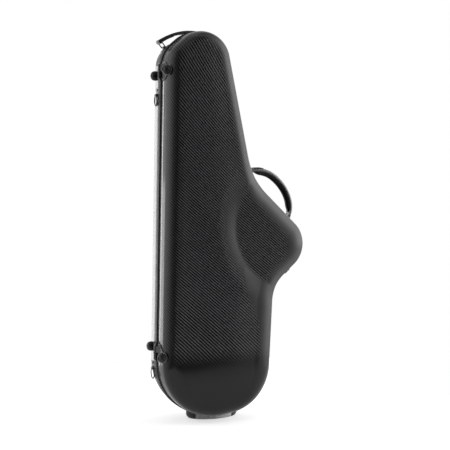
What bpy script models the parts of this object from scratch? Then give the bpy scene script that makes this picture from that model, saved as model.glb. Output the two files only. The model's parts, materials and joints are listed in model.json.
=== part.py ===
"""Contoured hard case for a tenor saxophone, standing upright on its foot.

Metres, +Z up.  +X is to the right seen from the lid, and the lid faces -Y.  The origin is the middle of
the foot's flat underside.  Two moulded shells meet at an upright seam plane: the lid in front, and the
tray behind it, which carries the foot, the handles and the latches.  The shells, their edge bands, the
seal and the liners all follow one outline in the XZ plane, moved in or out along its own normals.

Hardware is modelled in frames on the wall: the first axis points out of the case, the second runs
towards the back, and the third runs along the outline.
"""

import math

import bmesh
import bpy
import numpy as np
from mathutils import Matrix, Vector

# Clearances
SEAT_GAP = 0.0003
RUN_GAP = 0.0003
SWING_GAP = 0.0005

# Outline at the seam: each corner's reach from the middle of the foot, its height and its rounding
TOP_LEFT_REACH = 0.120
TOP_LEFT_HEIGHT = 0.809
TOP_LEFT_ROUND = 0.057
TOP_RIGHT_REACH = 0.002
TOP_EDGE_RISE = 0.1045
TOP_RIGHT_ROUND = 0.065
NECK_REACH = 0.079
NECK_HEIGHT = 0.539
NECK_ROUND = 0.156
BELL_BEYOND_NECK = 0.158
BELL_BELOW_NECK = 0.1525
BELL_ROUND = 0.064
HIP_INSIDE_BELL = 0.105
HIP_BELOW_BELL = 0.093
HIP_ROUND = 0.082
BOTTOM_RIGHT_REACH = 0.118
BOTTOM_RIGHT_HEIGHT = 0.025
BOTTOM_RIGHT_ROUND = 0.110
BOTTOM_LEFT_REACH = 0.136
BOTTOM_LEFT_DROP = 0.010
BOTTOM_LEFT_ROUND = 0.122
EDGE_LEFT_STRAIGHT_SHARE = 0.02

# Steps along the outline: first and second half of each rounding, and the edge after it
TOP_STEPS = 9
SIDE_STEPS = 32
TOP_LEFT_STEPS = (2, 2, 2)
TOP_RIGHT_STEPS = (5, 4, 6)
NECK_STEPS = (2, 2, 3)
BELL_STEPS = (3, 3, 1)
HIP_STEPS = (2, 1, 2)
BOTTOM_RIGHT_STEPS = (3, 4, 1)
BOTTOM_LEFT_STEPS = (4, 4, 26)

# Shells
SHELL_WALL = 0.003
SHELL_DRAFT_SHARE = 0.033
SEAM_FORWARD = 0.0155
LID_DEPTH = 0.057
LID_ROUND = 0.035
LID_CROWN = 0.006
LID_BELL_DEPTH = 0.052
LID_BELL_INSIDE_CORNER = 0.071
LID_BELL_ABOVE_CORNER = 0.0445
LID_BELL_RADIUS = 0.139
LID_BELL_SHOULDER = 0.05
TRAY_DEPTH = 0.0712
TRAY_ROUND = 0.034
TRAY_CROWN = 0.005
TRAY_BELL_DEPTH = 0.122
TRAY_BELL_INSIDE_CORNER = 0.122
TRAY_BELL_ABOVE_CORNER = 0.0185
TRAY_BELL_RADIUS = 0.066
TRAY_BELL_FADE = 0.078
CROWN_POWER = 8
ROUND_STEPS = 4
INNER_ROUND_STEPS = 2

# Seal between the shells, band round the tray's edge and frame inside the lid's edge
SEAL_WIDTH = 0.0074
SEAL_RECESS = 0.0005
SEAL_THICKNESS = 0.0055
BAND_WALL = 0.0015
BAND_WIDTH = 0.018
BAND_LIP = 0.002
BAND_LIP_REACH = 0.005
LID_FRAME_WALL = 0.0018
LID_FRAME_DEPTH = 0.012

# Foam inside
LINER_WALL = 0.012
LINER_ROUND = 0.018
LID_LINER_DEPTH = 0.036
BELL_POCKET_RADIUS = 0.070
BELL_POCKET_FLOOR_RADIUS = 0.052
BELL_POCKET_DEPTH = 0.046
BOW_BLOCK_HEIGHT = 0.085
BOW_BLOCK_THICKNESS = 0.030
BOW_REST_RADIUS = 0.048
BOW_REST_DEPTH = 0.030
BODY_STRAP_ABOVE_NECK = 0.061
BODY_STRAP_WIDTH = 0.040
BODY_STRAP_THICKNESS = 0.002
BODY_STRAP_INSET = 0.007

# Foot
FOOT_HALF_WIDTH = 0.060
FOOT_HALF_DEPTH = 0.038
FOOT_SETBACK = 0.004
FOOT_CLEARANCE = 0.0004
FOOT_BEVEL_HEIGHT = 0.005
FOOT_BEVEL_SHARE = 0.07
FOOT_PLATE_LEFT = 0.047
FOOT_PLATE_RIGHT = 0.036

# Hinges on the straight left wall
UPPER_HINGE_BELOW_CORNER = 0.040
LOWER_HINGE_HEIGHT = 0.1555
HINGE_LEAF_HEIGHT = 0.040
HINGE_LEAF_THICKNESS = 0.0015
HINGE_STANDOFF = 0.0064
HINGE_BEHIND_SEAM = 0.004
HINGE_KNUCKLE_RADIUS = 0.0036
HINGE_KNUCKLE_LENGTH = 0.015
HINGE_PIN_RADIUS = 0.0016
HINGE_PIN_HEAD_RADIUS = 0.0026
HINGE_PIN_HEAD_LENGTH = 0.0015
HINGE_TONGUE_REACH = 0.006
TRAY_LEAF_END = 0.043
LID_LEAF_ARC_SHARE = 0.42

# Round rubber bumpers on the hinge leaves
BUMPER_RADIUS = 0.0105
BUMPER_HEIGHT = 0.012
BUMPER_SHOULDER = 0.003
BUMPER_WASHER_RADIUS = 0.0112
BUMPER_WASHER_THICKNESS = 0.0012
BUMPER_SCREW_RADIUS = 0.002
LID_BUMPER_ARC_SHARE = 0.20
TRAY_BUMPER_BEHIND = 0.034
UPPER_LID_BUMPER_SHIFT = 0.0
UPPER_TRAY_BUMPER_SHIFT = 0.0095
LOWER_LID_BUMPER_SHIFT = 0.0095
LOWER_TRAY_BUMPER_SHIFT = -0.0095

# Brackets and rings for shoulder straps
STRAP_RING_BEHIND = 0.034
UPPER_LEFT_RING_BELOW_CORNER = 0.093
LOWER_LEFT_RING_HEIGHT = 0.113
UPPER_RIGHT_RING_SHARE = 0.3097
LOWER_RIGHT_RING_SHARE = 0.4655
BRACKET_WIDTH = 0.014
BRACKET_HEIGHT = 0.038
BRACKET_THICKNESS = 0.0015
BRACKET_LOOP_RADIUS = 0.0033
BRACKET_LOOP_LENGTH = 0.010
BRACKET_LOOP_RISE = 0.003
RING_WIRE = 0.00125
RING_TOP_HALF = 0.0078
RING_WIDEST_HALF = 0.012
RING_SHOULDER_DROP = 0.007
RING_WAIST_DROP = 0.015
RING_FOOT_HALF = 0.004
RING_DROP = 0.023

# Top handle
TOP_HANDLE_BEHIND = 0.036
TOP_BRACKET_LEFT_ABOVE_CORNER = 0.0135
TOP_BRACKET_RIGHT_BELOW_CORNER = 0.087
TOP_BRACKET_LENGTH = 0.022
TOP_RING_LENGTH = 0.016
TOP_RING_HALF_WIDTH = 0.0120
TOP_RING_LEFT_LEAN = math.radians(3)
TOP_RING_RIGHT_LEAN = math.radians(56)
TOP_STRAP_WIDTH = 0.019
TOP_STRAP_THICKNESS = 0.004
TOP_STRAP_CLEARANCE = 0.0005
TOP_STRAP_MIDDLE_SHARE = 0.3
TOP_STRAP_END_RADIUS = 0.0042
TOP_STRAP_RUN_GAP = 0.0005

# Side handle above the bell
SIDE_HANDLE_BEHIND = 0.0375
SIDE_HANDLE_BELOW_NECK = 0.0495
SIDE_HANDLE_HEIGHT = 0.113
SIDE_HANDLE_STANDOFF = 0.0115
SIDE_HANDLE_RISE = 0.0485
SIDE_STRAP_SPAN_SHARE = 0.96
SIDE_STRAP_WIDTH = 0.020
SIDE_STRAP_THICKNESS = 0.004
SIDE_GRIP_RADIUS = 0.0085
SIDE_GRIP_DEPTH = 0.013
SIDE_GRIP_SPAN_SHARE = 0.62
SIDE_LUG_RADIUS = 0.006
SIDE_LUG_LENGTH = 0.012
SIDE_PIN_RADIUS = 0.002
SIDE_EAR_THICKNESS = 0.003
SIDE_PLATE_THICKNESS = 0.002
SIDE_PLATE_LENGTH = 0.030
SIDE_PLATE_WIDTH = 0.020

# Draw latches on the right side
UPPER_LATCH_SHARE = 0.5234
BELL_LATCH_BELOW_CORNER = 0.0575
LOWER_LATCH_SHARE = 0.689
LATCH_PLATE_THICKNESS = 0.0015
LATCH_PLATE_LENGTH = 0.027
LATCH_PLATE_HALF_WIDTH = 0.0062
LATCH_PIVOT_BEHIND = 0.0135
LATCH_SHAFT_RADIUS = 0.0014
LATCH_PIVOT_ROUND = 0.0024
LATCH_EAR_NEAR = 0.0030
LATCH_EAR_FAR = 0.0044
LATCH_FLANGE_FAR = 0.0058
LATCH_LEVER_HALF_WIDTH = 0.0061
LATCH_LEVER_LENGTH = 0.030
LATCH_LEVER_WALL = 0.0014
LATCH_FLANGE_LENGTH = 0.013
LATCH_BAIL_ARM = 0.008
LATCH_BAIL_LOWER = 0.001
LATCH_BAIL_HALF = 0.0076
LATCH_WIRE = 0.0011
LATCH_BAR_AHEAD = 0.011
KEEPER_FRONT = 0.017
KEEPER_BACK = 0.003
KEEPER_THICKNESS = 0.0015
KEEPER_RIDGE_HEIGHT = 0.0038
KEEPER_RIDGE_LENGTH = 0.002
KEEPER_HALF_WIDTH = 0.006

# Facets
PIN_SIDES = 12
KNUCKLE_SIDES = 16
WIRE_SIDES = 8
BUMPER_SIDES = 18
SMOOTH_ANGLE = math.radians(35)

# Planes along Y that the rest is set from
SEAM_Y = -SEAM_FORWARD
SEAL_FRONT_Y = SEAM_Y + SEAT_GAP
BAND_FRONT_Y = SEAL_FRONT_Y + SEAL_WIDTH + SEAT_GAP
BAND_BACK_Y = BAND_FRONT_Y + BAND_WIDTH
TRAY_EDGE_Y = BAND_FRONT_Y + BAND_LIP + SEAT_GAP
BAND_PROUD = SEAT_GAP + BAND_WALL

# Corners that follow others, and what is set from the corners
TOP_RIGHT_HEIGHT = TOP_LEFT_HEIGHT + TOP_EDGE_RISE
TOP_TO_NECK = TOP_RIGHT_HEIGHT - NECK_HEIGHT
BELL_REACH = NECK_REACH + BELL_BEYOND_NECK
BELL_HEIGHT = NECK_HEIGHT - BELL_BELOW_NECK
HIP_REACH = BELL_REACH - HIP_INSIDE_BELL
HIP_HEIGHT = BELL_HEIGHT - HIP_BELOW_BELL
HIP_TO_BOTTOM = HIP_HEIGHT - BOTTOM_RIGHT_HEIGHT
LID_BELL_ACROSS = BELL_REACH - LID_BELL_INSIDE_CORNER
LID_BELL_HEIGHT = BELL_HEIGHT + LID_BELL_ABOVE_CORNER
TRAY_BELL_ACROSS = BELL_REACH - TRAY_BELL_INSIDE_CORNER
TRAY_BELL_HEIGHT = BELL_HEIGHT + TRAY_BELL_ABOVE_CORNER
BODY_STRAP_HEIGHT = NECK_HEIGHT + BODY_STRAP_ABOVE_NECK
UPPER_HINGE_HEIGHT = TOP_LEFT_HEIGHT - UPPER_HINGE_BELOW_CORNER
UPPER_LEFT_RING_HEIGHT = TOP_LEFT_HEIGHT - UPPER_LEFT_RING_BELOW_CORNER
UPPER_RIGHT_RING_HEIGHT = NECK_HEIGHT + UPPER_RIGHT_RING_SHARE * TOP_TO_NECK
LOWER_RIGHT_RING_HEIGHT = BOTTOM_RIGHT_HEIGHT + LOWER_RIGHT_RING_SHARE * HIP_TO_BOTTOM
TOP_BRACKET_LEFT_HEIGHT = TOP_LEFT_HEIGHT + TOP_BRACKET_LEFT_ABOVE_CORNER
TOP_BRACKET_RIGHT_HEIGHT = TOP_RIGHT_HEIGHT - TOP_BRACKET_RIGHT_BELOW_CORNER
SIDE_HANDLE_UPPER_HEIGHT = NECK_HEIGHT - SIDE_HANDLE_BELOW_NECK + SIDE_HANDLE_HEIGHT / 2
SIDE_HANDLE_LOWER_HEIGHT = SIDE_HANDLE_UPPER_HEIGHT - SIDE_HANDLE_HEIGHT
UPPER_LATCH_HEIGHT = NECK_HEIGHT + UPPER_LATCH_SHARE * TOP_TO_NECK
BELL_LATCH_HEIGHT = BELL_HEIGHT - BELL_LATCH_BELOW_CORNER
LOWER_LATCH_HEIGHT = BOTTOM_RIGHT_HEIGHT + LOWER_LATCH_SHARE * HIP_TO_BOTTOM


# Outline

def corner_points():
    """The outline's corners in the XZ plane, clockwise seen from the lid."""
    return np.array([
        (-TOP_LEFT_REACH, TOP_LEFT_HEIGHT),
        (TOP_RIGHT_REACH, TOP_RIGHT_HEIGHT),
        (NECK_REACH, NECK_HEIGHT),
        (BELL_REACH, BELL_HEIGHT),
        (HIP_REACH, HIP_HEIGHT),
        (BOTTOM_RIGHT_REACH, BOTTOM_RIGHT_HEIGHT),
        (-BOTTOM_LEFT_REACH, -BOTTOM_LEFT_DROP),
    ])


def unit(vector):
    return vector / np.linalg.norm(vector)


def left_of(direction):
    return np.array((-direction[1], direction[0]))


def roundings():
    """Each corner's rounding: centre, radius, first angle, turn, and its points on the two edges."""
    corners = corner_points()
    rounds = [TOP_LEFT_ROUND, TOP_RIGHT_ROUND, NECK_ROUND, BELL_ROUND, HIP_ROUND,
              BOTTOM_RIGHT_ROUND, BOTTOM_LEFT_ROUND]
    count = len(corners)
    travel = [unit(corners[(i + 1) % count] - corners[i]) for i in range(count)]
    length = [np.linalg.norm(corners[(i + 1) % count] - corners[i]) for i in range(count)]
    turns = []
    for i in range(count):
        before, after = travel[i - 1], travel[i]
        cross = before[0] * after[1] - before[1] * after[0]
        turns.append(math.atan2(cross, before @ after))
    cuts = [rounds[i] * math.tan(abs(turns[i]) / 2) for i in range(count)]
    room = [(1 - EDGE_LEFT_STRAIGHT_SHARE) * length[i] / (cuts[i] + cuts[(i + 1) % count]) for i in range(count)]
    arcs = []
    for i in range(count):
        fit = min(1.0, room[i - 1], room[i])
        radius, cut = rounds[i] * fit, cuts[i] * fit
        entry = corners[i] - travel[i - 1] * cut
        leave = corners[i] + travel[i] * cut
        side = math.copysign(1.0, turns[i])
        centre = entry + left_of(travel[i - 1]) * radius * side
        first = math.atan2(entry[1] - centre[1], entry[0] - centre[0])
        arcs.append((centre, radius, first, turns[i], entry, leave))
    return arcs


def arc_station(arc, share):
    """Point and outward normal at a share of a rounding's turn."""
    centre, radius, first, turn, _entry, _leave = arc
    angle = first + turn * share
    spoke = np.array((math.cos(angle), math.sin(angle)))
    return centre + radius * spoke, -spoke * math.copysign(1.0, turn)


def outline(detail=1):
    """Points and outward normals of the outline, clockwise from the middle of the top left rounding."""
    arcs = roundings()
    steps = [TOP_LEFT_STEPS, TOP_RIGHT_STEPS, NECK_STEPS, BELL_STEPS, HIP_STEPS,
             BOTTOM_RIGHT_STEPS, BOTTOM_LEFT_STEPS]
    stations = []
    for i, (first_half, second_half, edge) in enumerate(steps):
        if i:
            stations += [arc_station(arcs[i], k / (2 * first_half * detail)) for k in range(first_half * detail)]
        stations += [arc_station(arcs[i], 0.5 + k / (2 * second_half * detail))
                     for k in range(second_half * detail)]
        start, end = arcs[i][5], arcs[(i + 1) % len(arcs)][4]
        normal = left_of(unit(end - start))
        shares = np.arange(edge * detail) / (edge * detail)
        if i == len(steps) - 1:
            shares = left_edge_shares(stations, detail)
        stations += [(start + (end - start) * share, normal) for share in shares]
    half = TOP_LEFT_STEPS[0] * detail
    stations += [arc_station(arcs[0], k / (2 * half)) for k in range(half)]
    return np.array([point for point, _ in stations]), np.array([normal for _, normal in stations])


def left_edge_shares(stations, detail):
    """Places on the straight left edge that are level with the points opposite them."""
    lower = BOTTOM_LEFT_STEPS[1] * detail
    upper = TOP_LEFT_STEPS[0] * detail
    right_end = (TOP_STEPS + SIDE_STEPS) * detail
    heights = np.array([stations[right_end - k][0][1] for k in range(lower, SIDE_STEPS * detail - upper + 1)])
    shares = (heights - heights[0]) / (heights[-1] - heights[0])
    return shares[:-1]


def spot(side, height):
    """Point and outward normal of the outline's left (-1) or right (1) side at a height."""
    points, normals = outline(4)
    following = np.roll(points, -1, axis=0)
    following_normals = np.roll(normals, -1, axis=0)
    crossing = (points[:, 1] - height) * (following[:, 1] - height) <= 0
    crossing &= points[:, 1] != following[:, 1]
    share = (height - points[crossing, 1]) / (following[crossing, 1] - points[crossing, 1])
    across = points[crossing, 0] + share * (following[crossing, 0] - points[crossing, 0])
    pick = np.argmax(side * across)
    normal = normals[crossing][pick] * (1 - share[pick]) + following_normals[crossing][pick] * share[pick]
    return np.array((across[pick], height)), unit(normal)


def seat_lift(point, normal, half_length):
    """How far the faceted outline stands out past the tangent at a point, within a length along it."""
    points, _ = outline()
    tangent = left_of(normal)
    lift = 0.0
    for k in range(len(points)):
        start, end = points[k - 1], points[k]
        for share in np.linspace(0, 1, 9):
            offset = start + (end - start) * share - point
            if abs(offset @ tangent) <= half_length:
                lift = max(lift, offset @ normal)
    return lift


# Depth of the two shells

def lid_scale(across, height, crown):
    """Lid depth at a place, as a multiple of LID_DEPTH: lower over the bell, with a shoulder round it."""
    away = np.hypot(across - LID_BELL_ACROSS, height - LID_BELL_HEIGHT) - LID_BELL_RADIUS
    body = np.sin(np.clip(away / LID_BELL_SHOULDER, 0, 1) * math.pi / 2)
    depth = LID_BELL_DEPTH + (LID_DEPTH + LID_CROWN * crown - LID_BELL_DEPTH) * body
    return depth / LID_DEPTH


def tray_scale(across, height, crown):
    """Tray depth at a place, as a multiple of TRAY_DEPTH: a deep round lobe behind the bell."""
    away = np.hypot(across - TRAY_BELL_ACROSS, height - TRAY_BELL_HEIGHT) - TRAY_BELL_RADIUS
    share = 1 - np.clip(away / TRAY_BELL_FADE, 0, 1)
    lobe = share * share * (3 - 2 * share)
    depth = TRAY_DEPTH + TRAY_CROWN * crown * (1 - lobe) + (TRAY_BELL_DEPTH - TRAY_DEPTH) * lobe
    return depth / TRAY_DEPTH


def even_scale(across, height, crown):
    return np.ones_like(across)


def wall_profile(inset, depth, radius, steps):
    """Inset and depth down a drafted wall and round into the floor."""
    run = depth - radius
    foot = inset + SHELL_DRAFT_SHARE * run
    rows = [(inset, 0.0)]
    for k in range(steps + 1):
        angle = math.pi / 2 * k / steps
        rows.append((foot + radius * (1 - math.cos(angle)), run + radius * math.sin(angle)))
    return rows


# Meshes

class Mesher:
    """Collects points and faces of one closed solid."""

    def __init__(self):
        self.points = []
        self.faces = []

    def add(self, points):
        first = len(self.points)
        self.points += [tuple(p) for p in points]
        return list(range(first, len(self.points)))

    def bridge(self, ring, other):
        count = len(ring)
        for k in range(count):
            self.faces.append((ring[k - 1], ring[k], other[k], other[k - 1]))

    def build(self, name, material):
        mesh = bpy.data.meshes.new(name)
        mesh.from_pydata(self.points, [], self.faces)
        return finish_mesh(name, mesh, material)


def finish_mesh(name, mesh, material):
    """Point the faces outwards, shade the object and link it."""
    shape = bmesh.new()
    shape.from_mesh(mesh)
    bmesh.ops.recalc_face_normals(shape, faces=shape.faces)
    shape.to_mesh(mesh)
    shape.free()
    mesh.shade_smooth()
    mesh.set_sharp_from_angle(angle=SMOOTH_ANGLE)
    thing = bpy.data.objects.new(name, mesh)
    thing.data.materials.append(material)
    bpy.context.scene.collection.objects.link(thing)
    return thing


def outline_row(inset, y):
    """The outline moved in by an inset, at one depth."""
    points, normals = outline()
    moved = points - normals * inset
    return np.column_stack((moved[:, 0], np.broadcast_to(y, len(moved)), moved[:, 1]))


def shell_row(inset, depth, edge_y, direction, scale):
    """One row of a shell's surface, with its depth scaled by the shell's own form."""
    row = outline_row(inset, edge_y)
    row[:, 1] += direction * depth * scale(row[:, 0], row[:, 2], np.zeros(len(row)))
    return row


def floor_grid(mesher, row, depth, edge_y, direction, scale):
    """Fill the last row with a grid that blends its four sides."""
    ring = np.array([mesher.points[k] for k in row])[:, (0, 2)]
    top = row[:TOP_STEPS + 1]
    right = row[TOP_STEPS:TOP_STEPS + SIDE_STEPS + 1]
    bottom = row[TOP_STEPS + SIDE_STEPS:2 * TOP_STEPS + SIDE_STEPS + 1][::-1]
    left = (row[2 * TOP_STEPS + SIDE_STEPS:] + row[:1])[::-1]
    place = {index: ring[k] for k, index in enumerate(row)}
    grid = [top]
    for i in range(1, SIDE_STEPS):
        down = i / SIDE_STEPS
        line = [left[i]]
        inner = []
        for j in range(1, TOP_STEPS):
            over = j / TOP_STEPS
            point = (1 - over) * place[left[i]] + over * place[right[i]]
            point = point + (1 - down) * place[top[j]] + down * place[bottom[j]]
            point = point - (1 - down) * ((1 - over) * place[top[0]] + over * place[top[-1]])
            point = point - down * ((1 - over) * place[bottom[0]] + over * place[bottom[-1]])
            crown = 4 * over * (1 - over) * (1 - (2 * down - 1) ** CROWN_POWER)
            deep = depth * float(scale(point[0], point[1], crown))
            inner.append((point[0], edge_y + direction * deep, point[1]))
        line += mesher.add(inner)
        line.append(right[i])
        grid.append(line)
    grid.append(bottom)
    for upper, lower in zip(grid[:-1], grid[1:]):
        for j in range(TOP_STEPS):
            mesher.faces.append((upper[j], upper[j + 1], lower[j + 1], lower[j]))


def bowl_side(mesher, profile, edge_y, direction, scale):
    """Wall, rounding and floor of one side of a shell; returns its first row."""
    rows = [mesher.add(shell_row(inset, depth, edge_y, direction, scale)) for inset, depth in profile]
    for row, following in zip(rows[:-1], rows[1:]):
        mesher.bridge(row, following)
    floor_grid(mesher, rows[-1], profile[-1][1], edge_y, direction, scale)
    return rows[0]


def make_shell(name, depth, radius, edge_y, direction, scale, material):
    """A thin moulded half shell, open at the seam."""
    mesher = Mesher()
    outer = bowl_side(mesher, wall_profile(0.0, depth, radius, ROUND_STEPS), edge_y, direction, scale)
    inside = wall_profile(SHELL_WALL, depth - SHELL_WALL, radius - SHELL_WALL, INNER_ROUND_STEPS)
    inner = bowl_side(mesher, inside, edge_y, direction, scale)
    mesher.bridge(outer, inner)
    return mesher.build(name, material)


def make_liner(name, depth, radius, edge_y, setback, direction, scale, floor_depth, material):
    """A foam liner seated in a shell, with a flat floor."""
    mesher = Mesher()
    rim = edge_y + direction * setback
    skin = SHELL_WALL + SEAT_GAP
    profile = wall_profile(skin, depth - skin, radius - skin, INNER_ROUND_STEPS)
    profile[0] = (skin + SHELL_DRAFT_SHARE * setback, setback)
    rows = [mesher.add(outline_row(profile[0][0], rim))]
    rows += [mesher.add(shell_row(inset, deep, edge_y, direction, scale)) for inset, deep in profile[1:]]
    for row, following in zip(rows[:-1], rows[1:]):
        mesher.bridge(row, following)
    floor_grid(mesher, rows[-1], profile[-1][1], edge_y, direction, scale)
    inset = skin + LINER_WALL
    inner_rows = []
    for inner_inset, deep in wall_profile(inset, floor_depth - setback, LINER_ROUND, INNER_ROUND_STEPS):
        inner_rows.append(mesher.add(outline_row(inner_inset, rim + direction * deep)))
    mesher.bridge(rows[0], inner_rows[0])
    for row, following in zip(inner_rows[:-1], inner_rows[1:]):
        mesher.bridge(row, following)
    mesher.faces.append(tuple(inner_rows[-1]))
    return mesher.build(name, material)


def make_edge_ring(name, section, material):
    """A closed ring round the case whose section is given as inset and Y."""
    mesher = Mesher()
    rows = [mesher.add(outline_row(inset, y)) for inset, y in section]
    for k in range(len(rows)):
        mesher.bridge(rows[k - 1], rows[k])
    return mesher.build(name, material)


def frame_matrix(origin, first, second, third):
    """A matrix whose columns are three axes and an origin."""
    matrix = Matrix.Identity(4)
    for column, axis in enumerate((first, second, third, origin)):
        for row in range(3):
            matrix[row][column] = axis[row]
    return matrix


def wall_frame(side, height, behind=0.0, slope=0.0):
    """A frame on the outer wall, some way behind the seam: out, towards the back, along the outline."""
    point, normal = spot(side, height)
    out = Vector((normal[0], 0, normal[1]))
    back = Vector((0, 1, 0))
    tilt = math.atan(slope) * math.copysign(1.0, behind)
    lean_out = out * math.cos(tilt) + back * math.sin(tilt)
    lean_back = back * math.cos(tilt) - out * math.sin(tilt)
    origin = Vector((point[0], SEAM_Y + behind, point[1]))
    from_edge = max(0.0, SEAM_Y + behind - TRAY_EDGE_Y) if behind > 0 else -behind
    origin = origin - out * slope * from_edge
    return frame_matrix(origin, lean_out, lean_back, lean_out.cross(lean_back))


def local_slope(side, height, tray=True):
    """The wall's draft where the shell is deeper or shallower than elsewhere."""
    point, _ = spot(side, height)
    scale = tray_scale if tray else lid_scale
    return SHELL_DRAFT_SHARE / float(scale(point[0], point[1], 0.0))


def prism(name, section, start, end, frame, material):
    """Extrude a closed section along its frame's third axis."""
    mesher = Mesher()
    near = mesher.add(frame @ Vector((a, b, start)) for a, b in section)
    far = mesher.add(frame @ Vector((a, b, end)) for a, b in section)
    mesher.bridge(near, far)
    mesher.faces += [tuple(near), tuple(reversed(far))]
    return mesher.build(name, material)


def circle(radius, sides, centre=(0.0, 0.0)):
    step = 2 * math.pi / sides
    return [(centre[0] + radius * math.cos((k + 0.5) * step), centre[1] + radius * math.sin((k + 0.5) * step))
            for k in range(sides)]


def arc_points(centre, radius, first, last, steps):
    """Points of an arc between two angles in degrees."""
    angles = np.radians(np.linspace(first, last, steps + 1))
    return [(centre[0] + radius * math.cos(a), centre[1] + radius * math.sin(a)) for a in angles]


def turned(name, profile, frame, sides, material):
    """Turn a profile of radius and height about the frame's first axis, from pole to pole."""
    mesher = Mesher()
    rows = []
    for radius, height in profile:
        if radius == 0:
            rows.append(mesher.add([frame @ Vector((height, 0, 0))]))
        else:
            rows.append(mesher.add(frame @ Vector((height, b, c)) for b, c in circle(radius, sides)))
    for row, following in zip(rows[:-1], rows[1:]):
        if len(row) == len(following):
            mesher.bridge(row, following)
        else:
            pole, ring = (row[0], following) if len(row) == 1 else (following[0], row)
            mesher.faces += [(ring[k - 1], ring[k], pole) for k in range(sides)]
    return mesher.build(name, material)


def turned_ring(name, profile, frame, sides, material):
    """Turn a closed profile of radius and height about the frame's first axis."""
    mesher = Mesher()
    rows = [mesher.add(frame @ Vector((height, b, c)) for b, c in circle(radius, sides))
            for radius, height in profile]
    for k in range(len(rows)):
        mesher.bridge(rows[k - 1], rows[k])
    return mesher.build(name, material)


def sweep(name, path, section, frame, material, closed=False):
    """Sweep a section along a flat path in the frame's first two axes, mitred at each point."""
    points = [np.array(p) for p in path]
    count = len(points)
    mesher = Mesher()
    rows = []
    for k, point in enumerate(points):
        before = unit(point - points[k - 1]) if closed or k else None
        after = unit(points[(k + 1) % count] - point) if closed or k < count - 1 else None
        before = after if before is None else before
        after = before if after is None else after
        side = unit(left_of(before) + left_of(after))
        side = side / (side @ left_of(before))
        rows.append(mesher.add(frame @ Vector((*(point + side * across), over)) for across, over in section))
    for row, following in zip(rows[:-1], rows[1:]):
        mesher.bridge(row, following)
    if closed:
        mesher.bridge(rows[-1], rows[0])
    else:
        mesher.faces += [tuple(rows[0]), tuple(reversed(rows[-1]))]
    return mesher.build(name, material)


def combine(target, tool, operation):
    """Add a Boolean that joins or cuts with a hidden guide."""
    tool.hide_render = True
    tool.display_type = "WIRE"
    step = target.modifiers.new(operation.lower(), "BOOLEAN")
    step.operation = operation
    step.solver = "EXACT"
    step.object = tool


def rectangle(low_a, high_a, low_b, high_b):
    return [(low_a, low_b), (high_a, low_b), (high_a, high_b), (low_a, high_b)]


# Materials

def paint(name, colour, roughness, metallic=0.0):
    material = bpy.data.materials.new(name)
    material.use_nodes = True
    surface = material.node_tree.nodes["Principled BSDF"]
    surface.inputs["Base Color"].default_value = (*colour, 1.0)
    surface.inputs["Roughness"].default_value = roughness
    surface.inputs["Metallic"].default_value = metallic
    return material


def twill_black(name):
    return paint(name, (0.022, 0.022, 0.024), 0.35)


def band_grey(name):
    return paint(name, (0.10, 0.10, 0.105), 0.5)


def rubber_black(name):
    return paint(name, (0.018, 0.018, 0.018), 0.8)


def dark_metal(name):
    return paint(name, (0.09, 0.09, 0.095), 0.4, 0.9)


def steel(name):
    return paint(name, (0.45, 0.45, 0.46), 0.3, 1.0)


def plush(name):
    return paint(name, (0.030, 0.030, 0.034), 0.95)


def leather_black(name):
    return paint(name, (0.020, 0.019, 0.018), 0.55)


# Shells, edges and liners

def make_shells():
    make_shell("lid_shell", LID_DEPTH, LID_ROUND, SEAM_Y, -1, lid_scale, twill_black("lid_shell"))
    make_shell("tray_shell", TRAY_DEPTH, TRAY_ROUND, TRAY_EDGE_Y, 1, tray_scale, twill_black("tray_shell"))


def make_edges():
    """Seal, outer band on the tray's edge, and the frame inside the lid's edge."""
    seal = rectangle(SEAL_RECESS, SEAL_RECESS + SEAL_THICKNESS, SEAL_FRONT_Y, SEAL_FRONT_Y + SEAL_WIDTH)
    make_edge_ring("rim_seal", seal, rubber_black("rim_seal"))
    lip_back = BAND_FRONT_Y + BAND_LIP
    band = [(-BAND_PROUD, BAND_FRONT_Y), (BAND_LIP_REACH, BAND_FRONT_Y), (BAND_LIP_REACH, lip_back),
            (-SEAT_GAP, lip_back), (-SEAT_GAP, BAND_BACK_Y), (-BAND_PROUD, BAND_BACK_Y)]
    make_edge_ring("tray_band", band, band_grey("tray_band"))
    near = SHELL_WALL + SEAT_GAP
    drift = SHELL_DRAFT_SHARE * LID_FRAME_DEPTH
    back = SEAM_Y - LID_FRAME_DEPTH
    frame = [(near, SEAM_Y), (near + LID_FRAME_WALL, SEAM_Y),
             (near + LID_FRAME_WALL + drift, back), (near + drift, back)]
    make_edge_ring("lid_frame", frame, band_grey("lid_frame"))


def make_liners():
    """Foam liners, the pocket behind the bell, and the loose foam and strap in the tray."""
    setback = LID_FRAME_DEPTH + SEAT_GAP
    make_liner("lid_liner", LID_DEPTH, LID_ROUND, SEAM_Y, setback, -1, lid_scale, LID_LINER_DEPTH,
               plush("lid_liner"))
    floor_depth = TRAY_DEPTH - SHELL_WALL - LINER_WALL
    liner = make_liner("tray_liner", TRAY_DEPTH, TRAY_ROUND, TRAY_EDGE_Y, 0.0, 1, tray_scale, floor_depth,
                       plush("tray_liner"))
    middle = Vector((TRAY_BELL_ACROSS, TRAY_EDGE_Y + floor_depth, TRAY_BELL_HEIGHT))
    facing = frame_matrix(middle, Vector((0, 1, 0)), Vector((0, 0, 1)), Vector((1, 0, 0)))
    pocket = turned("bell_pocket_cutter",
                    [(0, -LINER_ROUND), (BELL_POCKET_RADIUS, -LINER_ROUND), (BELL_POCKET_RADIUS, 0),
                     (BELL_POCKET_FLOOR_RADIUS, BELL_POCKET_DEPTH), (0, BELL_POCKET_DEPTH)],
                    facing, 2 * BUMPER_SIDES, liner.data.materials[0])
    combine(liner, pocket, "DIFFERENCE")
    make_bow_block()
    make_body_strap()


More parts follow.
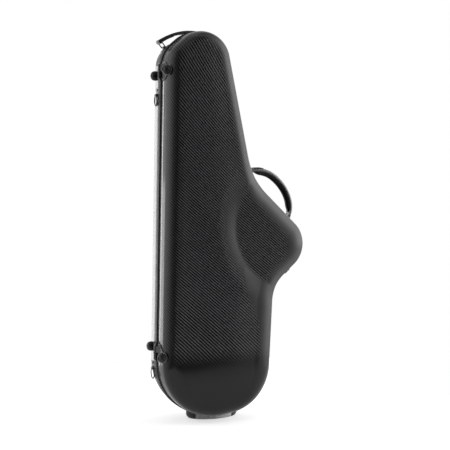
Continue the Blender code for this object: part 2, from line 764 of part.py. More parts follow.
def make_bow_block():
    """Foam block at the bottom of the tray with a round rest for the instrument's bow."""
    inset = SHELL_WALL + LINER_WALL + SHELL_DRAFT_SHARE * BOW_BLOCK_THICKNESS + 3 * SEAT_GAP
    points, normals = outline()
    inner = points - normals * inset
    low = [tuple(p) for p in inner if p[1] < BOW_BLOCK_HEIGHT]
    middle = sum(p[0] for p in low) / len(low)
    centre = (middle, BOW_BLOCK_HEIGHT + BOW_REST_RADIUS - BOW_REST_DEPTH)
    dip = math.degrees(math.acos((centre[1] - BOW_BLOCK_HEIGHT) / BOW_REST_RADIUS))
    rest = arc_points(centre, BOW_REST_RADIUS, 270 - dip, 270 + dip, 10)
    start = TRAY_EDGE_Y + SEAT_GAP
    upright = frame_matrix(Vector((0, 0, 0)), Vector((1, 0, 0)), Vector((0, 0, 1)), Vector((0, -1, 0)))
    prism("bow_block", low + rest, -start - BOW_BLOCK_THICKNESS, -start, upright, plush("bow_block"))


def make_body_strap():
    """Flat strap across the tray, fixed to the liner's edge on both sides."""
    corners = []
    for side, order in ((-1, (-1, 1)), (1, (1, -1))):
        for up in order:
            height = BODY_STRAP_HEIGHT + up * BODY_STRAP_WIDTH / 2
            point, _normal = spot(side, height)
            corners.append((point[0] - side * BODY_STRAP_INSET, height))
    back = TRAY_EDGE_Y - SEAT_GAP
    upright = frame_matrix(Vector((0, 0, 0)), Vector((1, 0, 0)), Vector((0, 0, 1)), Vector((0, -1, 0)))
    prism("body_strap", corners, -back, -back + BODY_STRAP_THICKNESS, upright, plush("body_strap"))


# Foot

def make_foot():
    """Oval foot shaped to the shell's curved bottom: a plate between two rubber ends."""
    points, normals = outline()
    lifted = points + normals * (BAND_PROUD + FOOT_CLEARANCE)
    lower = lifted[lifted[:, 1] < BOTTOM_RIGHT_ROUND / 2]
    order = np.argsort(lower[:, 0])
    across, height = lower[order, 0], lower[order, 1]
    upright = frame_matrix(Vector((0, 0, 0)), Vector((1, 0, 0)), Vector((0, 0, 1)), Vector((0, -1, 0)))
    reach = FOOT_SETBACK + 2 * FOOT_HALF_DEPTH

    def block(name, low, high, material):
        inner = [(x, z) for x, z in zip(across, height) if low < x < high]
        top = [(low, np.interp(low, across, height))] + inner + [(high, np.interp(high, across, height))]
        section = [(low, -FOOT_BEVEL_HEIGHT), (high, -FOOT_BEVEL_HEIGHT)] + top[::-1]
        piece = prism(name, section, -reach, reach, upright, material)
        combine(piece, foot_oval(name, material), "INTERSECT")

    gap = SEAT_GAP / 2
    far = 2 * FOOT_HALF_WIDTH
    block("foot_plate", -FOOT_PLATE_LEFT, FOOT_PLATE_RIGHT, band_grey("foot_plate"))
    block("foot_pad_left", -far, -FOOT_PLATE_LEFT - 2 * gap, rubber_black("foot_pad_left"))
    block("foot_pad_right", FOOT_PLATE_RIGHT + 2 * gap, far, rubber_black("foot_pad_right"))


def foot_oval(name, material):
    """Oval block with a bevelled bottom edge that the foot's pieces are trimmed to."""
    across, depth = Vector((FOOT_HALF_WIDTH, 0, 0)), Vector((0, FOOT_HALF_DEPTH, 0))
    frame = frame_matrix(Vector((0, FOOT_SETBACK, 0)), Vector((0, 0, 1)), across, depth)
    top = BOTTOM_RIGHT_ROUND
    profile = [(0, 0), (1 - FOOT_BEVEL_SHARE, 0), (1, FOOT_BEVEL_HEIGHT), (1, top), (0, top)]
    return turned(name + "_oval_guide", profile, frame, 3 * KNUCKLE_SIDES, material)


# Hinges

def lid_wall_point(arc_share, lift):
    """Out and behind-the-seam coordinates on the lid's profile, in its rounding, lifted off the surface."""
    run = LID_DEPTH - LID_ROUND
    angle = arc_share * math.pi / 2
    reach = LID_ROUND + lift
    return (-SHELL_DRAFT_SHARE * run - LID_ROUND + reach * math.cos(angle), -run - reach * math.sin(angle))


def lid_leaf_section():
    """Strip that follows the lid's wall and the start of its rounding."""
    near, far = SEAT_GAP, SEAT_GAP + HINGE_LEAF_THICKNESS
    shares = np.linspace(0, LID_LEAF_ARC_SHARE, 5)
    inner = [(near, -SEAT_GAP)] + [lid_wall_point(share, near) for share in shares]
    outer = [(far, -SEAT_GAP)] + [lid_wall_point(share, far) for share in shares]
    return inner + outer[::-1]


def hinge_frame(height):
    return wall_frame(-1, height)


def make_hinge(label, height, lid_shift, tray_shift):
    """Two leaves with a knuckle each, their pin, and a rubber bumper on each leaf."""
    frame = hinge_frame(height)
    half = HINGE_LEAF_HEIGHT / 2
    pivot = (HINGE_STANDOFF, HINGE_BEHIND_SEAM)
    metal = dark_metal(f"{label}_hinge")
    far = SEAT_GAP + HINGE_LEAF_THICKNESS

    lid_leaf = prism(f"{label}_hinge_lid_leaf", lid_leaf_section(), -half, half, frame, metal)
    tongue = [(far - HINGE_LEAF_THICKNESS / 2, -HINGE_TONGUE_REACH), (far - SEAT_GAP, -HINGE_TONGUE_REACH),
              (pivot[0] + HINGE_KNUCKLE_RADIUS / 2, pivot[1] - HINGE_KNUCKLE_RADIUS / 2),
              (pivot[0] - HINGE_KNUCKLE_RADIUS / 2, pivot[1] + HINGE_KNUCKLE_RADIUS / 2)]
    add_knuckle(lid_leaf, label + "_lid", tongue, pivot, -HINGE_KNUCKLE_LENGTH, -RUN_GAP / 2, frame, metal)

    low = BAND_PROUD + SEAT_GAP
    high = low + HINGE_LEAF_THICKNESS
    near = pivot[1] + HINGE_KNUCKLE_RADIUS + SWING_GAP
    tray_leaf = prism(f"{label}_hinge_tray_leaf", rectangle(low, high, near, TRAY_LEAF_END), -half, half,
                      frame, metal)
    tongue = [(low + SEAT_GAP, near + HINGE_LEAF_THICKNESS), (low + SEAT_GAP, pivot[1]), (pivot[0], pivot[1]),
              (high - SEAT_GAP, near + HINGE_LEAF_THICKNESS)]
    add_knuckle(tray_leaf, label + "_tray", tongue, pivot, RUN_GAP / 2, HINGE_KNUCKLE_LENGTH, frame, metal)

    make_hinge_pin(label, frame, pivot, metal)
    make_bumper(f"{label}_lid", lid_bumper_frame(frame, lid_shift), far)
    tray_seat = frame @ Matrix.Translation((0, TRAY_BUMPER_BEHIND, tray_shift))
    make_bumper(f"{label}_tray", tray_seat, high)


def add_knuckle(leaf, label, tongue, pivot, start, end, frame, metal):
    """Join a knuckle and the tongue that carries it to a leaf, and bore it."""
    barrel = circle(HINGE_KNUCKLE_RADIUS, KNUCKLE_SIDES, pivot)
    knuckle = prism(label + "_knuckle_guide", barrel, start, end, frame, metal)
    carrier = prism(label + "_tongue_guide", tongue, start + SEAT_GAP, end - SEAT_GAP, frame, metal)
    combine(leaf, carrier, "UNION")
    combine(leaf, knuckle, "UNION")
    bore = circle(HINGE_PIN_RADIUS + RUN_GAP, KNUCKLE_SIDES, pivot)
    beyond = HINGE_KNUCKLE_RADIUS
    combine(leaf, prism(label + "_bore_cutter", bore, start - beyond, end + beyond, frame, metal), "DIFFERENCE")


def make_hinge_pin(label, frame, pivot, metal):
    """Pin through both knuckles with a head at each end."""
    axis = frame @ Matrix.Translation((pivot[0], pivot[1], 0))
    lie = frame_matrix(Vector((0, 0, 0)), Vector((0, 0, 1)), Vector((1, 0, 0)), Vector((0, 1, 0)))
    reach = HINGE_KNUCKLE_LENGTH + SEAT_GAP
    tip = reach + HINGE_PIN_HEAD_LENGTH
    profile = [(0, -tip), (HINGE_PIN_HEAD_RADIUS, -tip), (HINGE_PIN_HEAD_RADIUS, -reach),
               (HINGE_PIN_RADIUS, -reach), (HINGE_PIN_RADIUS, reach), (HINGE_PIN_HEAD_RADIUS, reach),
               (HINGE_PIN_HEAD_RADIUS, tip), (0, tip)]
    turned(f"{label}_hinge_pin", profile, axis @ lie, PIN_SIDES, metal)


def lid_bumper_frame(frame, shift):
    """Frame on the lid's rounding, its first axis along the surface's normal."""
    a, b = lid_wall_point(LID_BUMPER_ARC_SHARE, 0.0)
    tilt = Matrix.Rotation(-LID_BUMPER_ARC_SHARE * math.pi / 2, 4, "Z")
    return frame @ Matrix.Translation((a, b, shift)) @ tilt


def make_bumper(label, frame, seat):
    """Washer and domed rubber bumper standing on a leaf."""
    base = seat + SEAT_GAP
    top = base + BUMPER_WASHER_THICKNESS
    washer = [(BUMPER_SCREW_RADIUS, base), (BUMPER_WASHER_RADIUS, base), (BUMPER_WASHER_RADIUS, top),
              (BUMPER_SCREW_RADIUS, top)]
    turned_ring(f"{label}_bumper_washer", washer, frame, BUMPER_SIDES, steel(f"{label}_bumper_washer"))
    foot = top + SEAT_GAP
    dome = [(0, foot), (BUMPER_RADIUS, foot), (BUMPER_RADIUS, foot + BUMPER_SHOULDER)]
    rise = BUMPER_HEIGHT - BUMPER_SHOULDER
    for angle in (30, 60):
        turn = math.radians(angle)
        dome.append((BUMPER_RADIUS * math.cos(turn), foot + BUMPER_SHOULDER + rise * math.sin(turn)))
    dome.append((0, foot + BUMPER_HEIGHT))
    turned(f"{label}_bumper", dome, frame, BUMPER_SIDES, rubber_black(f"{label}_bumper"))


# Strap rings

def bracket_frame(side, height, behind, half_length):
    """Frame of a plate on the tray's wall behind its band, lifted until it clears the wall all along."""
    slope = min(local_slope(side, height + step) for step in (-half_length, 0.0, half_length))
    point, normal = spot(side, height)
    lift = SEAT_GAP + seat_lift(point, normal, half_length)
    return wall_frame(side, height, behind, slope) @ Matrix.Translation((lift, 0, 0))


def loop_centre():
    """Height of a bracket loop's bore above its plate's underside."""
    return BRACKET_THICKNESS + RING_WIRE + 2 * RUN_GAP


def make_bracket(name, frame, length, rise):
    """Plate with a loop that holds a wire ring's bar."""
    metal = dark_metal(name)
    across = rectangle(0.0, BRACKET_THICKNESS, -BRACKET_WIDTH / 2, BRACKET_WIDTH / 2)
    plate = prism(name, across, -length / 2, length / 2, frame, metal)
    lie = frame_matrix(Vector((loop_centre(), 0, rise)), Vector((1, 0, 0)), Vector((0, 0, -1)),
                       Vector((0, 1, 0)))
    half = BRACKET_LOOP_LENGTH / 2
    loop = prism(name + "_loop_guide", circle(BRACKET_LOOP_RADIUS, KNUCKLE_SIDES), -half, half, frame @ lie, metal)
    combine(plate, loop, "UNION")
    bore = circle(RING_WIRE + RUN_GAP, KNUCKLE_SIDES)
    beyond = BRACKET_WIDTH
    cutter = prism(name + "_loop_cutter", bore, -beyond, beyond, frame @ lie, metal)
    combine(plate, cutter, "DIFFERENCE")
    return frame @ Vector((loop_centre(), 0, rise))


def hanging_direction(frame):
    """Straight down, or along the plate where the wall leans out below the ring."""
    down = Vector((0, 0, -1))
    out = frame.to_3x3() @ Vector((1, 0, 0))
    along = frame.to_3x3() @ Vector((0, 0, 1))
    if along.z > 0:
        along = -along
    return down if down.dot(out) > 0 else along


def wire_ring(name, origin, bar, reach, points, wire):
    """Closed ring of round wire in the plane of its bar and its reach."""
    plane = frame_matrix(origin, bar, reach, bar.cross(reach))
    section = circle(wire, WIRE_SIDES)
    sweep(name, points, section, plane, steel(name), closed=True)


def make_strap_ring(label, side, height):
    """Bracket on the tray's wall with a six-sided ring hanging in it."""
    frame = bracket_frame(side, height, STRAP_RING_BEHIND, BRACKET_HEIGHT / 2)
    up = (frame.to_3x3() @ Vector((0, 0, 1))).z
    rise = math.copysign(BRACKET_LOOP_RISE, up)
    pivot = make_bracket(f"{label}_strap_bracket", frame, BRACKET_HEIGHT, rise)
    bar = frame.to_3x3() @ Vector((0, 1, 0))
    reach = hanging_direction(frame)
    reach = (reach - bar * reach.dot(bar)).normalized()
    shape = [(-RING_TOP_HALF, 0), (RING_TOP_HALF, 0), (RING_WIDEST_HALF, RING_SHOULDER_DROP),
             (RING_WIDEST_HALF, RING_WAIST_DROP), (RING_FOOT_HALF, RING_DROP), (-RING_FOOT_HALF, RING_DROP),
             (-RING_WIDEST_HALF, RING_WAIST_DROP), (-RING_WIDEST_HALF, RING_SHOULDER_DROP)]
    wire_ring(f"{label}_strap_ring", pivot, bar, reach, shape, RING_WIRE)
    return pivot, bar


# Top handle

def top_handle_bars():
    """Bracket frames, ring bars and strap bars of the top handle, left then right."""
    ends = []
    for side, height, lean in ((-1, TOP_BRACKET_LEFT_HEIGHT, TOP_RING_LEFT_LEAN),
                               (1, TOP_BRACKET_RIGHT_HEIGHT, TOP_RING_RIGHT_LEAN)):
        frame = bracket_frame(side, height, TOP_HANDLE_BEHIND, TOP_BRACKET_LENGTH / 2)
        inner = frame @ Vector((loop_centre(), 0, 0))
        out = frame.to_3x3() @ Vector((1, 0, 0))
        reach = Matrix.Rotation(-side * lean, 3, "Y") @ Vector((out.x, 0, out.z)).normalized()
        ends.append((frame, inner, inner + reach * TOP_RING_LENGTH, reach))
    return ends


def top_strap_arch(plane, span):
    """Rise of the strap that clears the band over the middle of its span."""
    points, normals = outline()
    arch = 0.0
    for point in points + normals * BAND_PROUD:
        along, lift, _over = plane.inverted() @ Vector((point[0], plane.translation.y, point[1]))
        if abs(along) < TOP_STRAP_MIDDLE_SHARE * span:
            arch = max(arch, (lift + TOP_STRAP_CLEARANCE) / (1 - (2 * along / span) ** 2))
    return arch


def make_top_handle():
    """Flat strap between two wire rings on brackets at the top of the tray."""
    ends = top_handle_bars()
    bar = Vector((0, 1, 0))
    for label, (frame, inner, outer, reach) in zip(("left", "right"), ends):
        make_bracket(f"top_handle_{label}_bracket", frame, TOP_BRACKET_LENGTH, 0.0)
        half = TOP_RING_HALF_WIDTH
        shape = [(-half, 0), (half, 0), (half, TOP_RING_LENGTH), (-half, TOP_RING_LENGTH)]
        tilted = frame.to_3x3() @ Vector((0, 1, 0))
        square = (reach - tilted * reach.dot(tilted)).normalized()
        wire_ring(f"top_handle_{label}_ring", inner, tilted, square, shape, RING_WIRE)
    left, right = ends[0][2], ends[1][2]
    span = (right - left).length
    along = (right - left).normalized()
    rise = bar.cross(along).normalized()
    if rise.z < 0:
        rise = -rise
    plane = frame_matrix((left + right) / 2, along, rise, along.cross(rise))
    arch = top_strap_arch(plane, span)
    radius = (span * span / 4 + arch * arch) / (2 * arch)
    half_angle = math.degrees(math.asin(span / 2 / radius))
    centre = (0.0, arch - radius)
    path = arc_points(centre, radius, 90 + half_angle, 90 - half_angle, 16)
    half_thick, half_wide = TOP_STRAP_THICKNESS / 2, TOP_STRAP_WIDTH / 2
    section = rectangle(-half_thick, half_thick, -half_wide, half_wide)
    leather = leather_black("top_handle_strap")
    strap = sweep("top_handle_strap", path, section, plane, leather)
    for side in (-1, 1):
        end = (side * span / 2, 0.0)
        roll = circle(TOP_STRAP_END_RADIUS, KNUCKLE_SIDES, end)
        inside = half_wide - SEAT_GAP
        combine(strap, prism(f"strap_end_guide_{side}", roll, -inside, inside, plane, leather), "UNION")
    for side in (-1, 1):
        end = (side * span / 2, 0.0)
        hole = circle(RING_WIRE + TOP_STRAP_RUN_GAP, KNUCKLE_SIDES, end)
        cutter = prism(f"strap_end_cutter_{side}", hole, -2 * half_wide, 2 * half_wide, plane, leather)
        combine(strap, cutter, "DIFFERENCE")


# Side handle

def side_handle_frame():
    """Frame of the side handle: along the line through its pins, outwards, and its third axis."""
    ends = []
    for height in (SIDE_HANDLE_UPPER_HEIGHT, SIDE_HANDLE_LOWER_HEIGHT):
        point, normal = spot(1, height)
        ends.append(point + normal * SIDE_HANDLE_STANDOFF)
    upper, lower = (Vector((p[0], SEAM_Y + SIDE_HANDLE_BEHIND, p[1])) for p in ends)
    along = (lower - upper).normalized()
    out = Vector((0, 1, 0)).cross(along)
    if out.x < 0:
        out = -out
    return frame_matrix((upper + lower) / 2, along, out, along.cross(out)), (lower - upper).length


def handle_path(half_span, rise, span_share, steps):
    """Arch of the handle, the middle share of a half ellipse."""
    limit = math.pi / 2 * span_share
    return [(half_span * math.sin(angle), rise * math.cos(angle))
            for angle in np.linspace(-limit, limit, steps + 1)]


def make_side_handle():
    """Flat strap with a padded grip under it, pinned to two brackets."""
    frame, span = side_handle_frame()
    half = span / 2
    leather = leather_black("side_handle_strap")
    half_thick, half_wide = SIDE_STRAP_THICKNESS / 2, SIDE_STRAP_WIDTH / 2
    section = rectangle(-half_thick, half_thick, -half_wide, half_wide)
    path = handle_path(half, SIDE_HANDLE_RISE, SIDE_STRAP_SPAN_SHARE, 24)
    strap = sweep("side_handle_strap", path, section, frame, leather)
    turn = frame_matrix(Vector((0, 0, 0)), Vector((0, 1, 0)), Vector((0, 0, 1)), Vector((1, 0, 0)))
    lug = circle(SIDE_LUG_RADIUS, KNUCKLE_SIDES)
    bore = circle(SIDE_PIN_RADIUS + RUN_GAP, KNUCKLE_SIDES)
    reach = SIDE_LUG_LENGTH / 2
    for side in (-1, 1):
        middle = side * half
        guide = prism(f"lug_guide_{side}", lug, middle - reach, middle + reach, frame @ turn, leather)
        combine(strap, guide, "UNION")
    for side in (-1, 1):
        middle = side * half
        cutter = prism(f"lug_cutter_{side}", bore, middle - 2 * reach, middle + 2 * reach, frame @ turn, leather)
        combine(strap, cutter, "DIFFERENCE")
    make_side_grip(frame, half)
    for label, side, height in (("upper", -1, SIDE_HANDLE_UPPER_HEIGHT), ("lower", 1, SIDE_HANDLE_LOWER_HEIGHT)):
        make_side_bracket(label, frame, side * half, height)


def make_side_grip(frame, half):
    """Padded roll under the strap: flat against it and round below."""
    centre = -SIDE_STRAP_THICKNESS / 2 - SEAT_GAP
    section = [(centre, SIDE_GRIP_RADIUS), (centre, -SIDE_GRIP_RADIUS)]
    for angle in (-60, -30, 0, 30, 60):
        turn = math.radians(angle)
        section.append((centre - SIDE_GRIP_DEPTH * math.cos(turn), SIDE_GRIP_RADIUS * math.sin(turn)))
    path = handle_path(half, SIDE_HANDLE_RISE, SIDE_GRIP_SPAN_SHARE, 12)
    path = path[::-1]
    mirrored = [(-a, b) for a, b in section]
    sweep("side_handle_grip", path, mirrored, frame, rubber_black("side_handle_grip"))


def make_side_bracket(label, frame, middle, height):
    """Plate on the wall with two ears that hold the handle's pin."""
    metal = dark_metal(f"side_handle_{label}_bracket")
    half_length = SIDE_PLATE_LENGTH / 2
    seat = bracket_frame(1, height, SIDE_HANDLE_BEHIND, half_length)
    across = rectangle(0.0, SIDE_PLATE_THICKNESS, -SIDE_PLATE_WIDTH / 2, SIDE_PLATE_WIDTH / 2)
    name = f"side_handle_{label}_bracket"
    plate = prism(name, across, -half_length, half_length, seat, metal)
    out = seat.to_3x3() @ Vector((1, 0, 0))
    along = frame.to_3x3() @ Vector((1, 0, 0))
    rise = frame.to_3x3() @ Vector((0, 1, 0))
    axis_point = frame @ Vector((middle, 0, 0))
    wall = seat @ Vector((SIDE_PLATE_THICKNESS / 2, 0, 0))
    gap = SIDE_LUG_LENGTH / 2 + SWING_GAP
    for side in (-1, 1):
        near = axis_point + along * side * gap
        ear = frame_matrix(near, rise, Vector((0, 1, 0)), along * side)
        drop = min((near + along * side * step - wall).dot(out) for step in (0.0, SIDE_EAR_THICKNESS))
        drop = drop / rise.dot(out)
        top = arc_points((0.0, 0.0), SIDE_LUG_RADIUS, -90, 90, 8)
        section = top + [(-drop, SIDE_LUG_RADIUS), (-drop, -SIDE_LUG_RADIUS)]
        guide = prism(f"{name}_ear_guide_{side}", section, 0.0, SIDE_EAR_THICKNESS, ear, metal)
        combine(plate, guide, "UNION")
    turn = frame_matrix(Vector((0, 0, 0)), Vector((0, 1, 0)), Vector((0, 0, 1)), Vector((1, 0, 0)))
    reach = gap + SIDE_EAR_THICKNESS
    bore = circle(SIDE_PIN_RADIUS + SEAT_GAP, KNUCKLE_SIDES)
    cutter = prism(f"{name}_cutter", bore, middle - 2 * reach, middle + 2 * reach, frame @ turn, metal)
    combine(plate, cutter, "DIFFERENCE")
    prism(f"side_handle_{label}_pin", circle(SIDE_PIN_RADIUS, PIN_SIDES), middle - reach, middle + reach,
          frame @ turn, steel(f"side_handle_{label}_pin"))


# Latches

def latch_pivot():
    """Out and back coordinates of a lever's shaft."""
    plate_top = BAND_PROUD + SEAT_GAP + LATCH_PLATE_THICKNESS
    return plate_top + SWING_GAP + LATCH_PIVOT_ROUND, LATCH_PIVOT_BEHIND


def bail_pivot():
    out, back = latch_pivot()
    return out - LATCH_BAIL_LOWER, back + LATCH_BAIL_ARM


def make_latch(label, height):
    """Base plate, lever and wire bail on the tray, and the keeper on the lid."""
    frame = wall_frame(1, height)
    make_latch_base(label, frame)
    make_latch_lever(label, frame)
    out, back = bail_pivot()
    lie = frame @ frame_matrix(Vector((out, 0, 0)), Vector((0, 1, 0)), Vector((0, 0, 1)), Vector((1, 0, 0)))
    half, stub = LATCH_BAIL_HALF, LATCH_EAR_FAR + SWING_GAP
    path = [(back, -stub), (back, -half), (-LATCH_BAR_AHEAD, -half), (-LATCH_BAR_AHEAD, half), (back, half),
            (back, stub)]
    sweep(f"{label}_latch_bail", path, circle(LATCH_WIRE, WIRE_SIDES), lie, steel(f"{label}_latch_bail"))
    make_keeper(label, height)


def make_latch_base(label, frame):
    name = f"{label}_latch_base"
    metal = dark_metal(name)
    low = BAND_PROUD + SEAT_GAP
    high = low + LATCH_PLATE_THICKNESS
    start = BAND_FRONT_Y - SEAM_Y
    half = LATCH_PLATE_HALF_WIDTH
    plate = prism(name, rectangle(low, high, start, start + LATCH_PLATE_LENGTH), -half, half, frame, metal)
    out, back = latch_pivot()
    ear = arc_points((out, back), LATCH_PIVOT_ROUND, -90, 90, 8)
    middle = (low + high) / 2
    ear += [(middle, back + LATCH_PIVOT_ROUND), (middle, back - LATCH_PIVOT_ROUND)]
    for side in (-1, 1):
        near, far = sorted((side * LATCH_EAR_NEAR, side * LATCH_EAR_FAR))
        combine(plate, prism(f"{name}_ear_guide_{side}", ear, near, far, frame, metal), "UNION")
    bore = circle(LATCH_SHAFT_RADIUS + RUN_GAP, KNUCKLE_SIDES, (out, back))
    combine(plate, prism(f"{name}_cutter", bore, -half, half, frame, metal), "DIFFERENCE")


def make_latch_lever(label, frame):
    """Channel-shaped lever with its own shaft, and holes for the bail's ends."""
    name = f"{label}_latch_lever"
    metal = dark_metal(name)
    out, back = latch_pivot()
    top = out + LATCH_PIVOT_ROUND
    far = LATCH_FLANGE_FAR
    start = back + LATCH_PIVOT_ROUND + SWING_GAP
    cover = rectangle(top - LATCH_LEVER_WALL, top, start, back + LATCH_LEVER_LENGTH)
    half = LATCH_LEVER_HALF_WIDTH
    lever = prism(name, cover, -half, half, frame, metal)
    tip = back + LATCH_FLANGE_LENGTH
    flange = arc_points((out, back), LATCH_PIVOT_ROUND, 180, 300, 6)
    flange += [(top - LATCH_LEVER_WALL / 2, back - LATCH_PIVOT_ROUND / 4), (top - LATCH_LEVER_WALL / 2, tip),
               (out - LATCH_BAIL_LOWER - LATCH_WIRE - LATCH_LEVER_WALL / 2, tip - LATCH_WIRE),
               (out - LATCH_BAIL_LOWER - LATCH_WIRE - LATCH_LEVER_WALL / 2, back)]
    for side in (-1, 1):
        near, edge = sorted((side * (LATCH_EAR_FAR + SWING_GAP - SEAT_GAP), side * far))
        combine(lever, prism(f"{name}_flange_guide_{side}", flange, near, edge, frame, metal), "UNION")
    shaft = circle(LATCH_SHAFT_RADIUS, PIN_SIDES, (out, back))
    inner = (LATCH_EAR_FAR + far) / 2
    combine(lever, prism(f"{name}_shaft_guide", shaft, -inner, inner, frame, metal), "UNION")
    hole = circle(LATCH_WIRE + RUN_GAP, KNUCKLE_SIDES, bail_pivot())
    combine(lever, prism(f"{name}_cutter", hole, -2 * far, 2 * far, frame, metal), "DIFFERENCE")


def make_keeper(label, height):
    """Ridged plate on the lid that the bail's bar drops behind."""
    name = f"{label}_latch_keeper"
    frame = wall_frame(1, height, -KEEPER_BACK, local_slope(1, height, tray=False))
    low, high = SEAT_GAP, SEAT_GAP + KEEPER_THICKNESS
    front = KEEPER_BACK - KEEPER_FRONT
    ridge_front = KEEPER_BACK - LATCH_BAR_AHEAD + LATCH_WIRE + SWING_GAP
    ridge_back = ridge_front + KEEPER_RIDGE_LENGTH
    section = [(low, front), (high, front), (high, ridge_front), (KEEPER_RIDGE_HEIGHT, ridge_front),
               (KEEPER_RIDGE_HEIGHT, ridge_back - KEEPER_RIDGE_LENGTH / 2), (high, ridge_back), (high, 0.0),
               (low, 0.0)]
    prism(name, section, -KEEPER_HALF_WIDTH, KEEPER_HALF_WIDTH, frame, steel(name))


def clear_scene():
    for thing in list(bpy.data.objects):
        bpy.data.objects.remove(thing, do_unlink=True)


def main():
    clear_scene()
    make_shells()
    make_edges()
    make_liners()
    make_foot()
    make_hinge("upper", UPPER_HINGE_HEIGHT, UPPER_LID_BUMPER_SHIFT, UPPER_TRAY_BUMPER_SHIFT)
    make_hinge("lower", LOWER_HINGE_HEIGHT, LOWER_LID_BUMPER_SHIFT, LOWER_TRAY_BUMPER_SHIFT)
    make_strap_ring("upper_left", -1, UPPER_LEFT_RING_HEIGHT)
    make_strap_ring("lower_left", -1, LOWER_LEFT_RING_HEIGHT)
    make_strap_ring("upper_right", 1, UPPER_RIGHT_RING_HEIGHT)
    make_strap_ring("lower_right", 1, LOWER_RIGHT_RING_HEIGHT)
    make_top_handle()
    make_side_handle()
    make_latch("upper", UPPER_LATCH_HEIGHT)
    make_latch("bell", BELL_LATCH_HEIGHT)
    make_latch("lower", LOWER_LATCH_HEIGHT)


if __name__ == "__main__":
    main()
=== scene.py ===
"""Display model of a contoured hard case for a tenor saxophone, laid over its packed solids.

Metres, +Z up, the lid towards -Y, the origin under the middle of the foot.  Both moulded shells, the
edge band, the seal and the linings follow one outline in the XZ plane.  Hardware is placed in frames on
the wall: the first axis points out of the case, the second to the back, and the third along the outline.
"""

import json
import math

import bmesh
import bpy
import numpy as np
from bpy.props import FloatProperty, FloatVectorProperty, IntProperty, PointerProperty
from bpy.types import Operator, Panel, PropertyGroup
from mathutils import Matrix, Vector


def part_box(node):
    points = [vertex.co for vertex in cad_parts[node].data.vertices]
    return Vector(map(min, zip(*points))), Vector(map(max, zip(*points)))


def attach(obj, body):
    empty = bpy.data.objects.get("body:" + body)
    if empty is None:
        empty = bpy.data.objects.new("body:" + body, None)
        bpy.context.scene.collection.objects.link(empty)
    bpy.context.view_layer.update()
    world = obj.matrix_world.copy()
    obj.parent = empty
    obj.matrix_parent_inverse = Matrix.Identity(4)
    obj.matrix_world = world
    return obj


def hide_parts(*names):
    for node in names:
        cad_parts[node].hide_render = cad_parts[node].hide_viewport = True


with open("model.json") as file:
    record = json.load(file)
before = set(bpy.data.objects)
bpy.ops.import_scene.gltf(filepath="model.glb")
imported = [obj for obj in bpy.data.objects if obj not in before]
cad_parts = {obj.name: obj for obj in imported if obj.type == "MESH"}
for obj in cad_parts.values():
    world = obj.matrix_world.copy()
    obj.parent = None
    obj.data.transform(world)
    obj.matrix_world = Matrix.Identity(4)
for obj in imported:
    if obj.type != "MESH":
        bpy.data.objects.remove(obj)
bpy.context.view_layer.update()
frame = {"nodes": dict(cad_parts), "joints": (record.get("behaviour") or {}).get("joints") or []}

bl_info = {
    "name": "Tenor Saxophone Case",
    "version": (1, 0, 0),
    "blender": (4, 5, 0),
    "location": "3D View > Sidebar > Sax Case",
    "description": "Builds the shells, edges, hardware, handles and linings of a moulded saxophone case",
    "category": "Object",
}

NODES = frame["nodes"]
JOINTS = {joint["name"]: joint for joint in frame["joints"]}
UP = np.array((0.0, 0.0, 1.0))
BACK = np.array((0.0, 1.0, 0.0))


# Sizes and colours

def size_of(name, description, default):
    return FloatProperty(name=name, description=description, default=default, unit="LENGTH", precision=4)


def colour_of(name, description, default):
    return FloatVectorProperty(name=name, description=description, default=default, subtype="COLOR", size=3,
                               min=0.0, max=1.0)


def corner_of(name, default):
    return FloatVectorProperty(name=name, description="Reach across, height and rounding of this corner",
                               default=default, unit="LENGTH", precision=4)


class OutlineSizes(PropertyGroup):
    """Corners of the case's outline, clockwise seen from the lid"""
    top_left: corner_of("Top left", (-0.120, 0.809, 0.057))
    top_right: corner_of("Top right", (0.002, 0.9135, 0.065))
    neck: corner_of("Neck", (0.079, 0.539, 0.156))
    bell: corner_of("Bell", (0.240, 0.3865, 0.064))
    hip: corner_of("Hip", (0.132, 0.2935, 0.082))
    bottom_right: corner_of("Bottom right", (0.118, 0.025, 0.110))
    bottom_left: corner_of("Bottom left", (-0.136, -0.010, 0.122))
    detail: IntProperty(name="Detail", description="How finely the shells are divided", default=9,
                        min=2, max=10)


